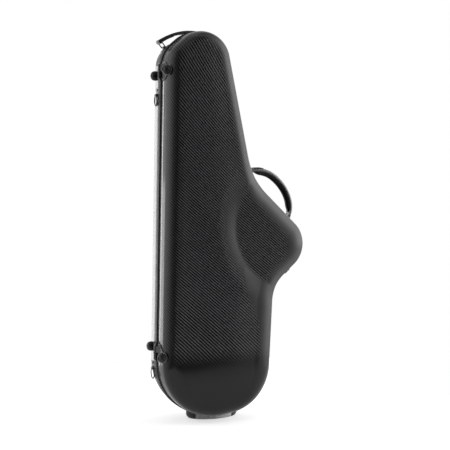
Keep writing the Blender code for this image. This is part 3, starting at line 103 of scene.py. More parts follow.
class ShellSizes(PropertyGroup):
    """Depths and walls of the two moulded shells and their edges"""
    wall: size_of("Wall", "Thickness of the moulded shells", 0.003)
    seam: size_of("Seam", "Place of the seam along Y", -0.0155)
    tray_edge: size_of("Tray edge", "Place of the tray's rim along Y", -0.0052)
    lid_depth: size_of("Lid depth", "Depth of the lid at its rim rounding", 0.057)
    lid_round: size_of("Lid rounding", "Radius between the lid's wall and face", 0.035)
    lid_crown: size_of("Lid crown", "Swell of the lid's face", 0.006)
    bell_face_depth: size_of("Bell face depth", "Depth of the flatter face over the bell", 0.052)
    bell_face_radius: size_of("Bell face radius", "Radius of the flatter face over the bell", 0.139)
    bell_shoulder: size_of("Bell shoulder", "Width of the swell beside the bell face", 0.05)
    bell_rim: size_of("Bell rim", "How much wider the lid's rounding is at the bell", 0.012)
    bell_droop: size_of("Bell droop", "How much shallower the lid is at the bell's tip", 0.0015)
    tray_depth: size_of("Tray depth", "Depth of the tray at its rim rounding", 0.0712)
    tray_round: size_of("Tray rounding", "Radius between the tray's wall and back", 0.034)
    tray_crown: size_of("Tray crown", "Swell of the tray's back", 0.005)
    lobe_depth: size_of("Lobe depth", "Depth of the round lobe behind the bell", 0.122)
    lobe_radius: size_of("Lobe radius", "Radius of the flat top of the lobe", 0.066)
    lobe_fade: size_of("Lobe fade", "Width over which the lobe runs out", 0.078)
    band_front: size_of("Band front", "Front edge of the metal band along Y", -0.0075)
    band_width: size_of("Band width", "Width of the metal band", 0.018)
    band_proud: size_of("Band proud", "How far the band stands out from the shell", 0.0018)


class HardwareSizes(PropertyGroup):
    """Hinges, bumpers, rings, handles and latches"""
    leaf_half: size_of("Leaf half height", "Half the height of a hinge leaf at its barrel", 0.020)
    leaf_thickness: size_of("Leaf thickness", "Thickness of a hinge leaf", 0.0015)
    knuckle_radius: size_of("Knuckle radius", "Radius of a hinge barrel", 0.0036)
    knuckle_length: size_of("Knuckle length", "Length of one hinge knuckle", 0.015)
    bumper_radius: size_of("Bumper radius", "Radius of a rubber bumper", 0.0105)
    bumper_height: size_of("Bumper height", "Height of a rubber bumper", 0.012)
    ring_wire: size_of("Ring wire", "Radius of the wire of rings", 0.00125)
    rivet_radius: size_of("Rivet radius", "Radius of a rivet's head", 0.0022)
    handle_rise: size_of("Handle rise", "Rise of the side handle's strap", 0.0500)
    strap_width: size_of("Strap width", "Width of the side handle's strap", 0.020)
    top_strap_width: size_of("Top strap width", "Width of the top handle's strap", 0.019)


class CaseColours(PropertyGroup):
    """Base colours of the finishes"""
    # The two tow colours are a painted sheen: tows that face the light are drawn lighter than those facing
    # away.
    tow_dark: colour_of("Dark tows", "Carbon tows that face away from the light", (0.0006, 0.0006, 0.0007))
    tow_light: colour_of("Light tows", "Carbon tows that face the light", (0.145, 0.145, 0.149))
    tow_width: size_of("Tow width", "Width of one carbon tow", 0.002)
    band: colour_of("Band", "Band round the tray's edge", (0.034, 0.034, 0.036))
    hardware: colour_of("Hardware", "Brackets and latches", (0.050, 0.050, 0.052))
    leaf: colour_of("Leaf", "Hinge leaves and their rivets", (0.095, 0.095, 0.098))
    steel: colour_of("Steel", "Washers, keepers and pins", (0.26, 0.26, 0.27))
    wire: colour_of("Wire", "Blackened wire of rings and bails", (0.012, 0.012, 0.0125))
    rubber: colour_of("Rubber", "Seal, bumpers and pads", (0.017, 0.017, 0.017))
    # Painted sheen: the leather is black, and this mid grey stands in for the sheen that lightens its faces.
    leather: colour_of("Leather", "Side handle's strap", (0.18, 0.178, 0.175))
    webbing: colour_of("Webbing", "Top handle and body strap", (0.022, 0.022, 0.022))
    plush: colour_of("Plush", "Lining of both shells", (0.024, 0.024, 0.027))
    # Partly painted light: the plate is grey, and its colour is raised further to make up for the shade it
    # lies in under the case.
    foot: colour_of("Foot", "Middle plate of the foot", (0.58, 0.58, 0.58))


class StageSizes(PropertyGroup):
    """Camera, lamps and floor"""
    distance: size_of("Distance", "From the camera to the middle of the foot, level", 2.2)
    turn: FloatProperty(name="Turn", description="How far the camera stands to the left of the lid",
                        default=math.radians(22), subtype="ANGLE")
    height: size_of("Height", "Height of the camera", 0.54)
    lens: FloatProperty(name="Lens", description="Focal length", default=78.48, unit="CAMERA")
    aside: FloatProperty(name="Aside", description="How far right of the foot's middle the camera looks",
                         default=math.radians(0.76), subtype="ANGLE")
    tilt: FloatProperty(name="Tilt", description="How far the camera looks down", default=math.radians(2.80),
                        subtype="ANGLE")


# Outline

def roundings(sizes):
    """Each corner's rounding, as a circle that touches both edges beside the corner.

    The centre lies one radius to the inner side of the edge, level with the point where the circle
    leaves it; that point is radius times the tangent of half the turn away from the corner.
    """
    table = np.array([sizes.top_left, sizes.top_right, sizes.neck, sizes.bell, sizes.hip,
                      sizes.bottom_right, sizes.bottom_left])
    corners, radius = table[:, :2], table[:, 2]
    step = np.roll(corners, -1, axis=0) - corners
    length = np.linalg.norm(step, axis=1)
    travel = step / length[:, None]
    before = np.roll(travel, 1, axis=0)
    turn = np.arctan2(before[:, 0] * travel[:, 1] - before[:, 1] * travel[:, 0], (before * travel).sum(1))
    cut = radius * np.tan(abs(turn) / 2)
    room = 0.98 * length / (cut + np.roll(cut, -1))
    fit = np.minimum(1, np.minimum(room, np.roll(room, 1)))
    radius, cut = radius * fit, cut * fit
    left = np.column_stack((-before[:, 1], before[:, 0]))
    entry, leave = corners - before * cut[:, None], corners + travel * cut[:, None]
    centre = entry + left * (radius * np.sign(turn))[:, None]
    first = np.arctan2(*(entry - centre).T[::-1])
    return centre, radius, first, turn, entry, leave, travel


# Steps at detail 1: along the top and the bottom, down each side, and for each corner those before the
# middle of its rounding, those after it, and those on the edge that follows
TOP_STEPS = 9
SIDE_STEPS = 32
ARC_STEPS = ((2, 2, 2), (5, 4, 6), (2, 2, 3), (3, 3, 1), (2, 1, 2), (3, 4, 1), (4, 4, 26))


def outline(detail):
    """Points and outward normals of the outline, clockwise from the middle of the top left rounding.

    A rounding's points are its centre plus its radius in evenly spaced directions; an edge's points lie
    evenly along it, except on the long left edge, where they are level with those on the right.
    """
    centre, radius, first, turn, entry, leave, travel = roundings(bpy.context.scene.case_outline)

    def arc(corner, shares):
        angle = first[corner] + turn[corner] * shares
        spoke = np.column_stack((np.cos(angle), np.sin(angle)))
        return centre[corner] + radius[corner] * spoke, -spoke * np.sign(turn[corner])

    runs = []
    for corner, (entering, leaving, edge) in enumerate(ARC_STEPS):
        if corner:
            runs.append(arc(corner, np.arange(entering * detail) / (2 * entering * detail)))
        runs.append(arc(corner, 0.5 + np.arange(leaving * detail) / (2 * leaving * detail)))
        start, end = leave[corner], entry[(corner + 1) % len(ARC_STEPS)]
        shares = np.arange(edge * detail) / (edge * detail)
        if corner == len(ARC_STEPS) - 1:
            heights = np.concatenate([points for points, _ in runs])[:, 1]
            last = (TOP_STEPS + SIDE_STEPS) * detail
            level = heights[last - np.arange(leaving * detail, (SIDE_STEPS - ARC_STEPS[0][0]) * detail + 1)]
            shares = ((level - level[0]) / (level[-1] - level[0]))[:-1]
        normal = np.array((-travel[corner][1], travel[corner][0]))
        runs.append((start + (end - start) * shares[:, None], np.tile(normal, (len(shares), 1))))
    half = ARC_STEPS[0][0] * detail
    runs.append(arc(0, np.arange(half) / (2 * half)))
    return np.concatenate([points for points, _ in runs]), np.concatenate([normals for _, normals in runs])


def spot(side, height):
    """Point and outward normal on the left (-1) or right (1) side of the outline at a height."""
    points, normals = outline(4)
    after, after_normals = np.roll(points, -1, axis=0), np.roll(normals, -1, axis=0)
    crossing = ((points[:, 1] - height) * (after[:, 1] - height) <= 0) & (points[:, 1] != after[:, 1])
    share = (height - points[crossing, 1]) / (after[crossing, 1] - points[crossing, 1])
    across = points[crossing, 0] + share * (after[crossing, 0] - points[crossing, 0])
    pick = np.argmax(side * across)
    normal = normals[crossing][pick] * (1 - share[pick]) + after_normals[crossing][pick] * share[pick]
    return np.array((across[pick], height)), normal / np.linalg.norm(normal)


def wall_frame(side, height, place_y):
    """Origin on the outline and the three axes of hardware there, as rows: out, back and along."""
    point, normal = spot(side, height)
    out = np.array((normal[0], 0.0, normal[1]))
    return np.array((point[0], place_y, point[1])), np.array((out, BACK, np.cross(out, BACK)))


def placed(local, place):
    """Local points put into a frame: its origin plus each coordinate along its axis."""
    origin, axes = place
    return origin + np.asarray(local) @ axes


# Meshes

def joined(*coordinates):
    """Points from arrays of their coordinates, spread over each other's rows and columns."""
    return np.stack(np.broadcast_arrays(*coordinates), -1)


def lengths_along(path):
    """Distance of each point from the first, along the path."""
    return np.concatenate(((0.0,), np.cumsum(np.linalg.norm(np.diff(path, axis=0), axis=1))))


def grid_quads(index, wrap_rows=False, wrap_columns=False):
    """Quads between neighbours of an array of point numbers, closed round either way if asked."""
    if wrap_rows:
        index = np.concatenate((index, index[:1]))
    if wrap_columns:
        index = np.concatenate((index, index[:, :1]), axis=1)
    return np.stack((index[:-1, :-1], index[:-1, 1:], index[1:, 1:], index[1:, :-1]), -1).reshape(-1, 4)


def numbered(points, first=0):
    return first + np.arange(points.shape[0] * points.shape[1]).reshape(points.shape[:2])


def grid_part(points, wrap_rows=False, wrap_columns=False, caps=False):
    """Points and faces of one grid, with flat ends if asked."""
    index = numbered(points)
    faces = grid_quads(index, wrap_rows, wrap_columns).tolist()
    if caps:
        faces += [index[0].tolist(), index[-1][::-1].tolist()]
    return points.reshape(-1, 3), faces


def slab_part(top, bottom):
    """A closed plate between two grids of the same size."""
    over, under = numbered(top), numbered(bottom, top.shape[0] * top.shape[1])
    edge = np.concatenate((over[0], over[1:, -1], over[-1, -2::-1], over[-2:0:-1, 0]))
    rim = np.stack((edge, edge + top.shape[0] * top.shape[1]))
    faces = np.concatenate((grid_quads(over)[:, ::-1], grid_quads(under), grid_quads(rim, wrap_columns=True)))
    return np.concatenate((top.reshape(-1, 3), bottom.reshape(-1, 3))), faces.tolist()


def plate_part(place, top, bottom):
    """A closed plate in a frame, between two sets of coordinates out, back and along."""
    return slab_part(placed(joined(*top), place), placed(joined(*bottom), place))


def turned_part(profile, place, sides):
    """A profile of radius and height turned about the frame's first axis."""
    profile = np.asarray(profile)
    angle = 2 * math.pi * np.arange(sides) / sides
    local = joined(profile[:, 1:], profile[:, :1] * np.cos(angle), profile[:, :1] * np.sin(angle))
    return grid_part(placed(local, place), wrap_columns=True)


def carried_part(path, first, second, section, closed=False):
    """A section, or one per path point, carried along a path: each point is the path's plus the section's
    two coordinates along two vectors."""
    points = (path[:, None] + section[..., :1] * np.broadcast_to(first, path.shape)[:, None]
              + section[..., 1:] * np.broadcast_to(second, path.shape)[:, None])
    return grid_part(points, wrap_rows=closed, wrap_columns=True, caps=not closed)


def flat_sides(path, over, closed=False):
    """Unit vectors square to a flat path, in its plane: its direction crossed with the plane's normal."""
    if closed:
        travel = np.roll(path, -1, axis=0) - np.roll(path, 1, axis=0)
    else:
        travel = np.gradient(path, axis=0)
    side = np.cross(travel, over)
    return side / np.linalg.norm(side, axis=1)[:, None]


def rounded_rectangle(half_first, half_second, radius, steps=3):
    """Outline of a rectangle whose corners are quarter circles."""
    angle = np.radians(np.arange(4)[:, None] * 90 + np.linspace(0, 90, steps + 1)).ravel()
    middle = np.radians(np.repeat(np.arange(4) * 90 + 45, steps + 1))
    inner = np.column_stack((np.sign(np.cos(middle)) * (half_first - radius),
                             np.sign(np.sin(middle)) * (half_second - radius)))
    return inner + radius * np.column_stack((np.cos(angle), np.sin(angle)))


def disc(radius, sides):
    angle = 2 * math.pi * np.arange(sides) / sides
    return radius * np.column_stack((np.cos(angle), np.sin(angle)))


def filleted(corners, radius, steps=5):
    """A closed polygon with each corner replaced by a curve from one point on its edges to another.

    Each curve is the parabola whose middle point is the corner, a radius long on both edges.
    """
    corners = np.asarray(corners, float)
    before, after = np.roll(corners, 1, axis=0) - corners, np.roll(corners, -1, axis=0) - corners
    reach_before = np.minimum(radius, 0.49 * np.linalg.norm(before, axis=1))
    reach_after = np.minimum(radius, 0.49 * np.linalg.norm(after, axis=1))
    start = corners + before / np.linalg.norm(before, axis=1)[:, None] * reach_before[:, None]
    end = corners + after / np.linalg.norm(after, axis=1)[:, None] * reach_after[:, None]
    t = np.linspace(0, 1, steps)[None, :, None]
    curve = (1 - t) ** 2 * start[:, None] + 2 * t * (1 - t) * corners[:, None] + t * t * end[:, None]
    return curve.reshape(-1, corners.shape[1])


def smooth(share):
    share = np.clip(share, 0, 1)
    return share * share * (3 - 2 * share)


def make_piece(name, parts, material, uv=None, sharp=40, bevel=0.0):
    """One object from closed parts: doubles merged, faces outward, smooth but for its sharp edges."""
    points, faces, first = [], [], 0
    for part_points, part_faces in parts:
        points.append(part_points)
        faces += [[first + corner for corner in face] for face in part_faces] if first else part_faces
        first += len(part_points)
    mesh = bpy.data.meshes.new(name)
    mesh.from_pydata(np.concatenate(points).tolist(), [], faces)
    if uv is not None:
        corner = np.empty(len(mesh.loops), int)
        mesh.loops.foreach_get("vertex_index", corner)
        mesh.uv_layers.new(name="Unrolled").data.foreach_set("uv", uv[corner].ravel())
    shape = bmesh.new()
    shape.from_mesh(mesh)
    bmesh.ops.remove_doubles(shape, verts=shape.verts, dist=1e-6)
    bmesh.ops.dissolve_degenerate(shape, edges=shape.edges, dist=1e-7)
    bmesh.ops.recalc_face_normals(shape, faces=shape.faces)
    shape.to_mesh(mesh)
    shape.free()
    mesh.shade_smooth()
    mesh.set_sharp_from_angle(angle=math.radians(sharp))
    mesh.materials.append(material)
    piece = bpy.data.objects.new(name, mesh)
    bpy.context.scene.collection.objects.link(piece)
    if bevel:
        edge = piece.modifiers.new("Eased edges", "BEVEL")
        edge.width, edge.segments, edge.limit_method = bevel, 2, "ANGLE"
        edge.angle_limit, edge.harden_normals = math.radians(50), False
    return piece


def fitted(piece, body, slot, *nodes):
    """Lets a piece ride on its body and stand for the solids it covers, which are hidden; the slot is not
    used.
    """
    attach(piece, body)
    if nodes:
        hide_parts(*nodes)
    return piece


# Shaders

class Wiring:
    """Short ways to add and link nodes in one node tree."""

    def __init__(self, tree):
        self.tree = tree

    def add(self, kind, **settings):
        node = self.tree.nodes.new(kind)
        for key, value in settings.items():
            setattr(node, key, value)
        return node

    def feed(self, socket, value):
        if isinstance(value, bpy.types.NodeSocket):
            self.tree.links.new(value, socket)
        else:
            socket.default_value = value

    def fed(self, kind, *values, **settings):
        """Outputs of a new node whose first inputs take the values in order.  None leaves an input alone."""
        node = self.add(kind, **settings)
        for socket, value in zip(node.inputs, values):
            if value is not None:
                self.feed(socket, value)
        return node.outputs

    def math(self, operation, *values):
        return self.fed("ShaderNodeMath", *values, operation=operation)[0]

    def plus(self, first, second):
        return self.math("ADD", first, second)

    def minus(self, first, second):
        return self.math("SUBTRACT", first, second)

    def times(self, first, second):
        return self.math("MULTIPLY", first, second)

    def times_plus(self, value, factor, added):
        return self.math("MULTIPLY_ADD", value, factor, added)

    def larger(self, first, second):
        return self.math("MAXIMUM", first, second)

    def spread(self, value, low, high, to_low=0.0, to_high=1.0):
        """A smooth step between two values."""
        return self.fed("ShaderNodeMapRange", value, low, high, to_low, to_high,
                        interpolation_type="SMOOTHSTEP")[0]

    def coordinates(self, vector):
        return self.fed("ShaderNodeSeparateXYZ", vector)

    def mix(self, factor, first, second):
        node = self.add("ShaderNodeMix", data_type="RGBA")
        self.feed(node.inputs["Factor"], factor)
        for socket, value in ((node.inputs["A"], first), (node.inputs["B"], second)):
            self.feed(socket, value if isinstance(value, bpy.types.NodeSocket) else (*value, 1.0))
        return node.outputs["Result"]

    def noise(self, vector, scale, detail=3.0):
        node = self.add("ShaderNodeTexNoise")
        self.feed(node.inputs["Vector"], vector)
        self.feed(node.inputs["Scale"], scale)
        node.inputs["Detail"].default_value = detail
        node.inputs["Roughness"].default_value = 0.6
        return node.outputs["Fac"]

    def scaled(self, vector, scale):
        node = self.add("ShaderNodeMapping")
        self.feed(node.inputs["Vector"], vector)
        node.inputs["Scale"].default_value = scale
        return node.outputs[0]

    def bump(self, height, distance, strength, normal=None):
        node = self.add("ShaderNodeBump")
        node.inputs["Distance"].default_value = distance
        node.inputs["Strength"].default_value = strength
        self.feed(node.inputs["Height"], height)
        if normal is not None:
            self.feed(node.inputs["Normal"], normal)
        return node.outputs[0]


def group_tree(name, inputs, outputs):
    """Wiring of an empty shader node group with named sockets, what it is given and what it gives."""
    tree = bpy.data.node_groups.new(name, "ShaderNodeTree")
    for label, kind, value in inputs:
        socket = tree.interface.new_socket(name=label, in_out="INPUT", socket_type=kind)
        if value is not None:
            socket.default_value = value
    for label in outputs:
        tree.interface.new_socket(name=label, in_out="OUTPUT", socket_type="NodeSocketFloat")
    wiring = Wiring(tree)
    return wiring, wiring.add("NodeGroupInput").outputs, wiring.add("NodeGroupOutput").inputs


def twill_group():
    """Two-over-two twill.  Tow numbers across and along are added; where the sum's remainder on division
    by four is under two, the tow that runs along lies on top, otherwise the one that runs across."""
    w, given, result = group_tree(
        "Twill weave", [("Fabric", "NodeSocketVector", None), ("Tow", "NodeSocketFloat", 0.002)],
        ("Over", "Height", "Tone"))
    fabric = w.coordinates(given["Fabric"])
    across, along = (w.math("DIVIDE", fabric[axis], given["Tow"]) for axis in (0, 1))
    number = w.plus(w.math("FLOOR", across), w.math("FLOOR", along))
    over = w.math("LESS_THAN", w.math("FLOORED_MODULO", number, 4.0), 1.5)
    crowns = [w.minus(1.0, w.math("POWER", w.times_plus(w.math("FRACT", value), 2.0, -1.0), 2.0))
              for value in (across, along)]
    counted = w.fed("ShaderNodeVectorMath", given["Fabric"], given["Tow"], operation="DIVIDE")[0]
    tones = w.add("ShaderNodeTexWhiteNoise", noise_dimensions="2D")
    w.feed(tones.inputs["Vector"], w.fed("ShaderNodeVectorMath", counted, operation="FLOOR")[0])
    w.feed(result["Over"], over)
    w.feed(result["Height"], w.plus(w.times(crowns[0], over), w.times(crowns[1], w.minus(1.0, over))))
    w.feed(result["Tone"], tones.outputs["Value"])


def grain_group():
    """Fine noise for height and broad noise for tone, both on the same coordinates."""
    w, given, result = group_tree(
        "Fine grain", [("Place", "NodeSocketVector", None), ("Scale", "NodeSocketFloat", 900.0)],
        ("Height", "Tone"))
    w.feed(result["Height"], w.noise(given["Place"], given["Scale"], 2.0))
    w.feed(result["Tone"], w.noise(given["Place"], w.times(given["Scale"], 0.03), 4.0))


def wear_group():
    """Light handling marks: stretched noise kept above a threshold, and dust that lies on upward faces."""
    w, given, result = group_tree(
        "Wear and dust", [("Place", "NodeSocketVector", None), ("Amount", "NodeSocketFloat", 0.5)],
        ("Marks", "Dust"))
    streaks = w.noise(w.scaled(given["Place"], (60.0, 60.0, 9.0)), 9.0, 5.0)
    w.feed(result["Marks"], w.times(w.spread(streaks, 0.62, 0.78), given["Amount"]))
    facing = w.coordinates(w.add("ShaderNodeTexCoord").outputs["Normal"])
    settled = w.times(w.spread(facing[2], 0.2, 1.0), w.noise(given["Place"], 35.0, 4.0))
    w.feed(result["Dust"], w.times(settled, given["Amount"]))


def new_material(name):
    """Wiring of a new material, its Principled surface's inputs and its object coordinates."""
    material = bpy.data.materials.new(name)
    material.use_nodes = True
    w = Wiring(material.node_tree)
    surface = material.node_tree.nodes["Principled BSDF"].inputs
    return w, surface, w.add("ShaderNodeTexCoord").outputs["Object"]


def placed_group(w, name, **values):
    node = w.add("ShaderNodeGroup", node_tree=bpy.data.node_groups[name])
    for label, value in values.items():
        w.feed(node.inputs[label], value)
    return node.outputs


def set_values(surface, **values):
    """Plain numbers on a surface's sockets; an underscore in a name stands for a space."""
    for label, value in values.items():
        surface[label.replace("_", " ")].default_value = value


def toned(colour, factor):
    return [min(1.0, value * factor) for value in colour]


def flank(w, across, height, normal, line, upright):
    """One past a slanted line and past an upright one; the line is given by its normal and two distances."""
    distance = w.times_plus(across, normal[0], w.times(height, normal[1]))
    return w.times(w.spread(distance, *line), w.spread(across, *upright))


def painted_light_places(w, across, height):
    """One where the shell's weave is left off and an even lighter colour is painted light, by metres across
    and up on its unrolled map.

    Beside the bell these are the flanks above and below its face, and its tip.  Under the bell it is a
    wedge below a slanted line and to the right of the body's edge, which is a parabola in the height over
    the fork's, cut off at its greatest distance.
    """
    fork_height, bow, least, most = 0.33, 3.0, 0.047, 0.086
    above = flank(w, across, height, (0.694, 0.720), (0.401, 0.407), (0.058, 0.074))
    below = flank(w, across, height, (0.663, -0.749), (-0.173, -0.167), (0.108, 0.122))
    beside_bell = w.larger(w.larger(above, below), w.spread(across, 0.154, 0.160))
    from_fork = w.minus(height, fork_height)
    body_edge = w.math("MINIMUM", w.times_plus(w.times(from_fork, from_fork), bow, least), most)
    from_line = w.times_plus(across, 0.565, w.times(height, 0.825))
    under_bell = w.times(w.spread(from_line, 0.3085, 0.3125, 1.0, 0.0),
                         w.spread(w.minus(across, body_edge), -0.003, 0.005))
    return w.larger(under_bell, beside_bell)


def carbon_finish():
    """Clear-coated carbon twill, drawn on the shell's unrolled map.

    The weave is left off near the foot, a painted shade that darkens the shell towards the bottom, and in the
    places under and beside the bell, where an even lighter colour is painted light.
    It is fainter on faces turned right, up or far to the left, a painted light and shade by how the light
    falls, and its light tows are a painted sheen.
    Its tows are wider towards the foot, and its diagonals run steeper at both ends, as in a cloth laid over a
    mould.
    """
    colours = bpy.context.scene.case_colours
    w, surface, place = new_material("Carbon twill under clear coat")
    unrolled = w.coordinates(w.add("ShaderNodeUVMap", uv_map="Unrolled").outputs[0])
    across, height = unrolled[0], unrolled[1]
    bend = w.times(w.math("POWER", w.minus(height, 0.43), 3.0), 1.367)
    draped = w.fed("ShaderNodeCombineXYZ", w.times(across, w.times_plus(height, 0.34, 0.93)),
                   w.minus(w.times(height, 1.32), bend))[0]
    twill = placed_group(w, "Twill weave", Fabric=draped, Tow=colours.tow_width)
    wear = placed_group(w, "Wear and dust", Place=place, Amount=0.35)
    # Painted light and shade by how the light falls: the weave shows fully only on faces turned to the front.
    # On faces turned right, up or far to the left, where reflections of the light cover it, its light tows
    # fade to a darker even colour.
    facing = w.coordinates(w.add("ShaderNodeTexCoord").outputs["Normal"])
    level = w.times(w.spread(facing[0], 0.07, 0.24, 1.0, 0.0), w.spread(facing[2], 0.30, 0.55, 1.0, 0.0))
    flat = w.times(w.spread(facing[0], -0.58, -0.34), level)
    # Painted shade: near the foot the weave is left off, so the shell is darker towards the bottom.
    above_painted_foot_shade = w.spread(height, 0.125, 0.17)
    unwoven_painted_light = w.times(painted_light_places(w, across, height), above_painted_foot_shade)
    seen = w.times(w.times(above_painted_foot_shade, w.times_plus(flat, 0.75, 0.25)), w.times_plus(unwoven_painted_light, -0.88, 1.0))
    # Painted sheen: the tows on top take the light tow colour, standing in for the sheen of tows that face
    # the light.
    light = w.times(twill["Over"], w.times_plus(twill["Tone"], 0.35, 0.65))
    # Painted light: where the weave is left off beside and under the bell, the colour is raised to an even
    # lighter tone.
    light = w.times_plus(w.minus(light, 0.05), seen, w.times_plus(unwoven_painted_light, 0.28, 0.05))
    mottled = w.times_plus(w.noise(place, 7.0), 0.5, 0.75)
    base = w.mix(w.times(light, mottled), colours.tow_dark, colours.tow_light)
    w.feed(surface["Base Color"], w.mix(w.times(wear["Dust"], 0.15), base, (0.12, 0.12, 0.115)))
    w.feed(surface["Roughness"], w.times_plus(twill["Over"], -0.10, 0.50))
    set_values(surface, Specular_IOR_Level=0.02, Coat_Weight=0.5, Coat_Roughness=0.15, Coat_IOR=1.5)
    tows = w.bump(w.times(twill["Height"], seen), 0.00010, 0.6)
    w.feed(surface["Normal"], w.bump(w.noise(place, 55.0, 2.0), 0.0004, 0.12, tows))


def metal_finish(name, colour, rough, metallic, along=(40.0, 40.0, 900.0), gloss=0.3):
    """Brushed or coated metal: noise stretched along the brushing sets roughness and tone."""
    w, surface, place = new_material(name)
    brushed = w.noise(w.scaled(place, along), 1.0, 4.0)
    wear = placed_group(w, "Wear and dust", Place=place, Amount=0.6)
    tone = w.mix(w.spread(brushed, 0.3, 0.7), toned(colour, 0.82), toned(colour, 1.12))
    w.feed(surface["Base Color"], w.mix(wear["Marks"], tone, toned(colour, 1.9)))
    w.feed(surface["Roughness"], w.times_plus(brushed, 0.22, rough - 0.11))
    set_values(surface, Metallic=metallic, Specular_IOR_Level=gloss)
    w.feed(surface["Normal"], w.bump(brushed, 0.00008, 0.5))


def moulded_finish(name, colour, rough, scale=900.0):
    """Rubber or plastic with a fine moulded grain and a little dust."""
    w, surface, place = new_material(name)
    grain = placed_group(w, "Fine grain", Place=place, Scale=scale)
    wear = placed_group(w, "Wear and dust", Place=place, Amount=0.5)
    tone = w.mix(w.spread(grain["Tone"], 0.3, 0.7), toned(colour, 0.75), toned(colour, 1.3))
    w.feed(surface["Base Color"], w.mix(w.times(wear["Dust"], 0.4), tone, (0.15, 0.15, 0.14)))
    w.feed(surface["Roughness"], w.times_plus(grain["Tone"], 0.3, rough - 0.15))
    set_values(surface, Specular_IOR_Level=0.3)
    w.feed(surface["Normal"], w.bump(grain["Height"], 0.00012, 0.8))


def strap_finish(name, colour, coat):
    """Strap with a fine cross weave and a row of stitches near both edges, drawn on its own map.

    The map runs in metres along the strap and from -1 to 1 across it.
    """
    row, stitch_length = 0.78, 0.0036
    w, surface, place = new_material(name)
    unrolled = w.coordinates(w.add("ShaderNodeUVMap", uv_map="Unrolled").outputs[0])
    along, across = unrolled[0], unrolled[1]
    from_row = w.math("ABSOLUTE", w.minus(w.math("ABSOLUTE", across), row))
    dash = w.math("ABSOLUTE", w.minus(w.math("FRACT", w.math("DIVIDE", along, stitch_length)), 0.5))
    stitch = w.times(w.spread(from_row, 0.045, 0.075, 1.0, 0.0), w.spread(dash, 0.30, 0.40, 1.0, 0.0))
    groove = w.spread(from_row, 0.06, 0.13, 1.0, 0.0)
    ribs = w.times(w.math("SINE", w.times(along, 4200.0)), w.math("SINE", w.times(across, 38.0)))
    grain = placed_group(w, "Fine grain", Place=place, Scale=1300.0)
    tone = w.mix(w.spread(ribs, -1.0, 1.0), toned(colour, 0.6), toned(colour, 1.5))
    w.feed(surface["Base Color"], w.mix(stitch, tone, toned(colour, 3.2)))
    w.feed(surface["Roughness"], w.times_plus(grain["Tone"], 0.2, 0.32))
    set_values(surface, Sheen_Weight=0.25, Sheen_Roughness=0.5, Coat_Weight=coat, Coat_Roughness=0.28)
    height = w.plus(w.times(ribs, 0.3), w.minus(w.times(stitch, 1.6), w.times(groove, 1.2)))
    w.feed(surface["Normal"], w.bump(w.plus(height, w.times(grain["Height"], 0.4)), 0.0003, 0.8))


def plush_finish(colour):
    """Short-pile plush: two scales of noise and a strong sheen."""
    w, surface, place = new_material("Black plush")
    pile = w.noise(place, 1500.0)
    swirl = w.noise(place, 22.0, 4.0)
    w.feed(surface["Base Color"], w.mix(w.spread(swirl, 0.35, 0.65), toned(colour, 0.7), toned(colour, 1.5)))
    w.feed(surface["Roughness"], w.times_plus(pile, 0.2, 0.8))
    set_values(surface, Sheen_Weight=0.6, Sheen_Roughness=0.45)
    w.feed(surface["Normal"], w.bump(w.plus(w.times(pile, 0.6), w.times(swirl, 0.8)), 0.0009, 0.6))


def finish_named(name):
    return bpy.data.materials[name]


class CASE_OT_finishes(Operator):
    """Build the shared weave, grain and wear groups and every finish of the case"""
    bl_idname = "case.finishes"
    bl_label = "Finishes"

    def execute(self, context):
        colours = context.scene.case_colours
        twill_group()
        grain_group()
        wear_group()
        carbon_finish()
        plush_finish(colours.plush)
        even = (300.0, 300.0, 300.0)
        metal_finish("Band metal", colours.band, 0.52, 0.0, (900.0, 40.0, 40.0), 0.15)
        metal_finish("Hardware metal", colours.hardware, 0.45, 0.4)
        metal_finish("Hinge metal", colours.leaf, 0.5, 0.3)
        metal_finish("Bright steel", colours.steel, 0.26, 0.9, even)
        metal_finish("Blackened wire", colours.wire, 0.36, 0.0, even)
        moulded_finish("Soft rubber", colours.rubber, 0.55)
        moulded_finish("Foot plastic", colours.foot, 0.55, 600.0)
        strap_finish("Handle strap", colours.leather, 0.25)
        strap_finish("Webbing", colours.webbing, 0.0)
        return {"FINISHED"}


# Shells and linings

# Middles of the bell's face and of the lobe behind it, measured from the bell's corner
FACE_FROM_BELL = (-0.071, 0.0445)
LOBE_FROM_BELL = (-0.122, 0.0185)
DRAFT_SHARE = 0.033


def from_bell(across, height, offset):
    """Distance from a middle that is given from the bell's corner."""
    bell = bpy.context.scene.case_outline.bell
    return np.hypot(across - (bell[0] + offset[0]), height - (bell[1] + offset[1]))


def lid_scale(across, height, crown):
    """Lid depth as a multiple of the rim's: a flatter bell face, then a quarter sine up to the crowned face.

    The distance beyond the bell face is softened by a hyperbola.  The crown is lower in the narrow upper
    part, and the bell's face droops by a smooth step towards its tip.
    """
    s = bpy.context.scene.case_shell
    bell = bpy.context.scene.case_outline.bell
    softening = 0.0012
    away = from_bell(across, height, FACE_FROM_BELL) - s.bell_face_radius
    away = (away + np.sqrt(away * away + softening ** 2)) / 2
    body = np.sin(np.clip(away / s.bell_shoulder, 0, 1) * math.pi / 2)
    swell = s.lid_crown * crown * (1 - 0.65 * smooth((height - 0.38) / 0.25))
    droop = s.bell_droop * smooth((across - bell[0] + 0.122) / 0.095) * (1 - body)
    return (s.bell_face_depth - droop + (s.lid_depth + swell - s.bell_face_depth) * body) / s.lid_depth


def tray_scale(across, height, crown):
    """Tray depth as a multiple of the rim's: a crowned back and a round lobe that runs out smoothly."""
    s = bpy.context.scene.case_shell
    lobe = smooth(1 - (from_bell(across, height, LOBE_FROM_BELL) - s.lobe_radius) / s.lobe_fade)
    depth = s.tray_depth + s.tray_crown * crown * (1 - lobe) + (s.lobe_depth - s.tray_depth) * lobe
    return depth / s.tray_depth


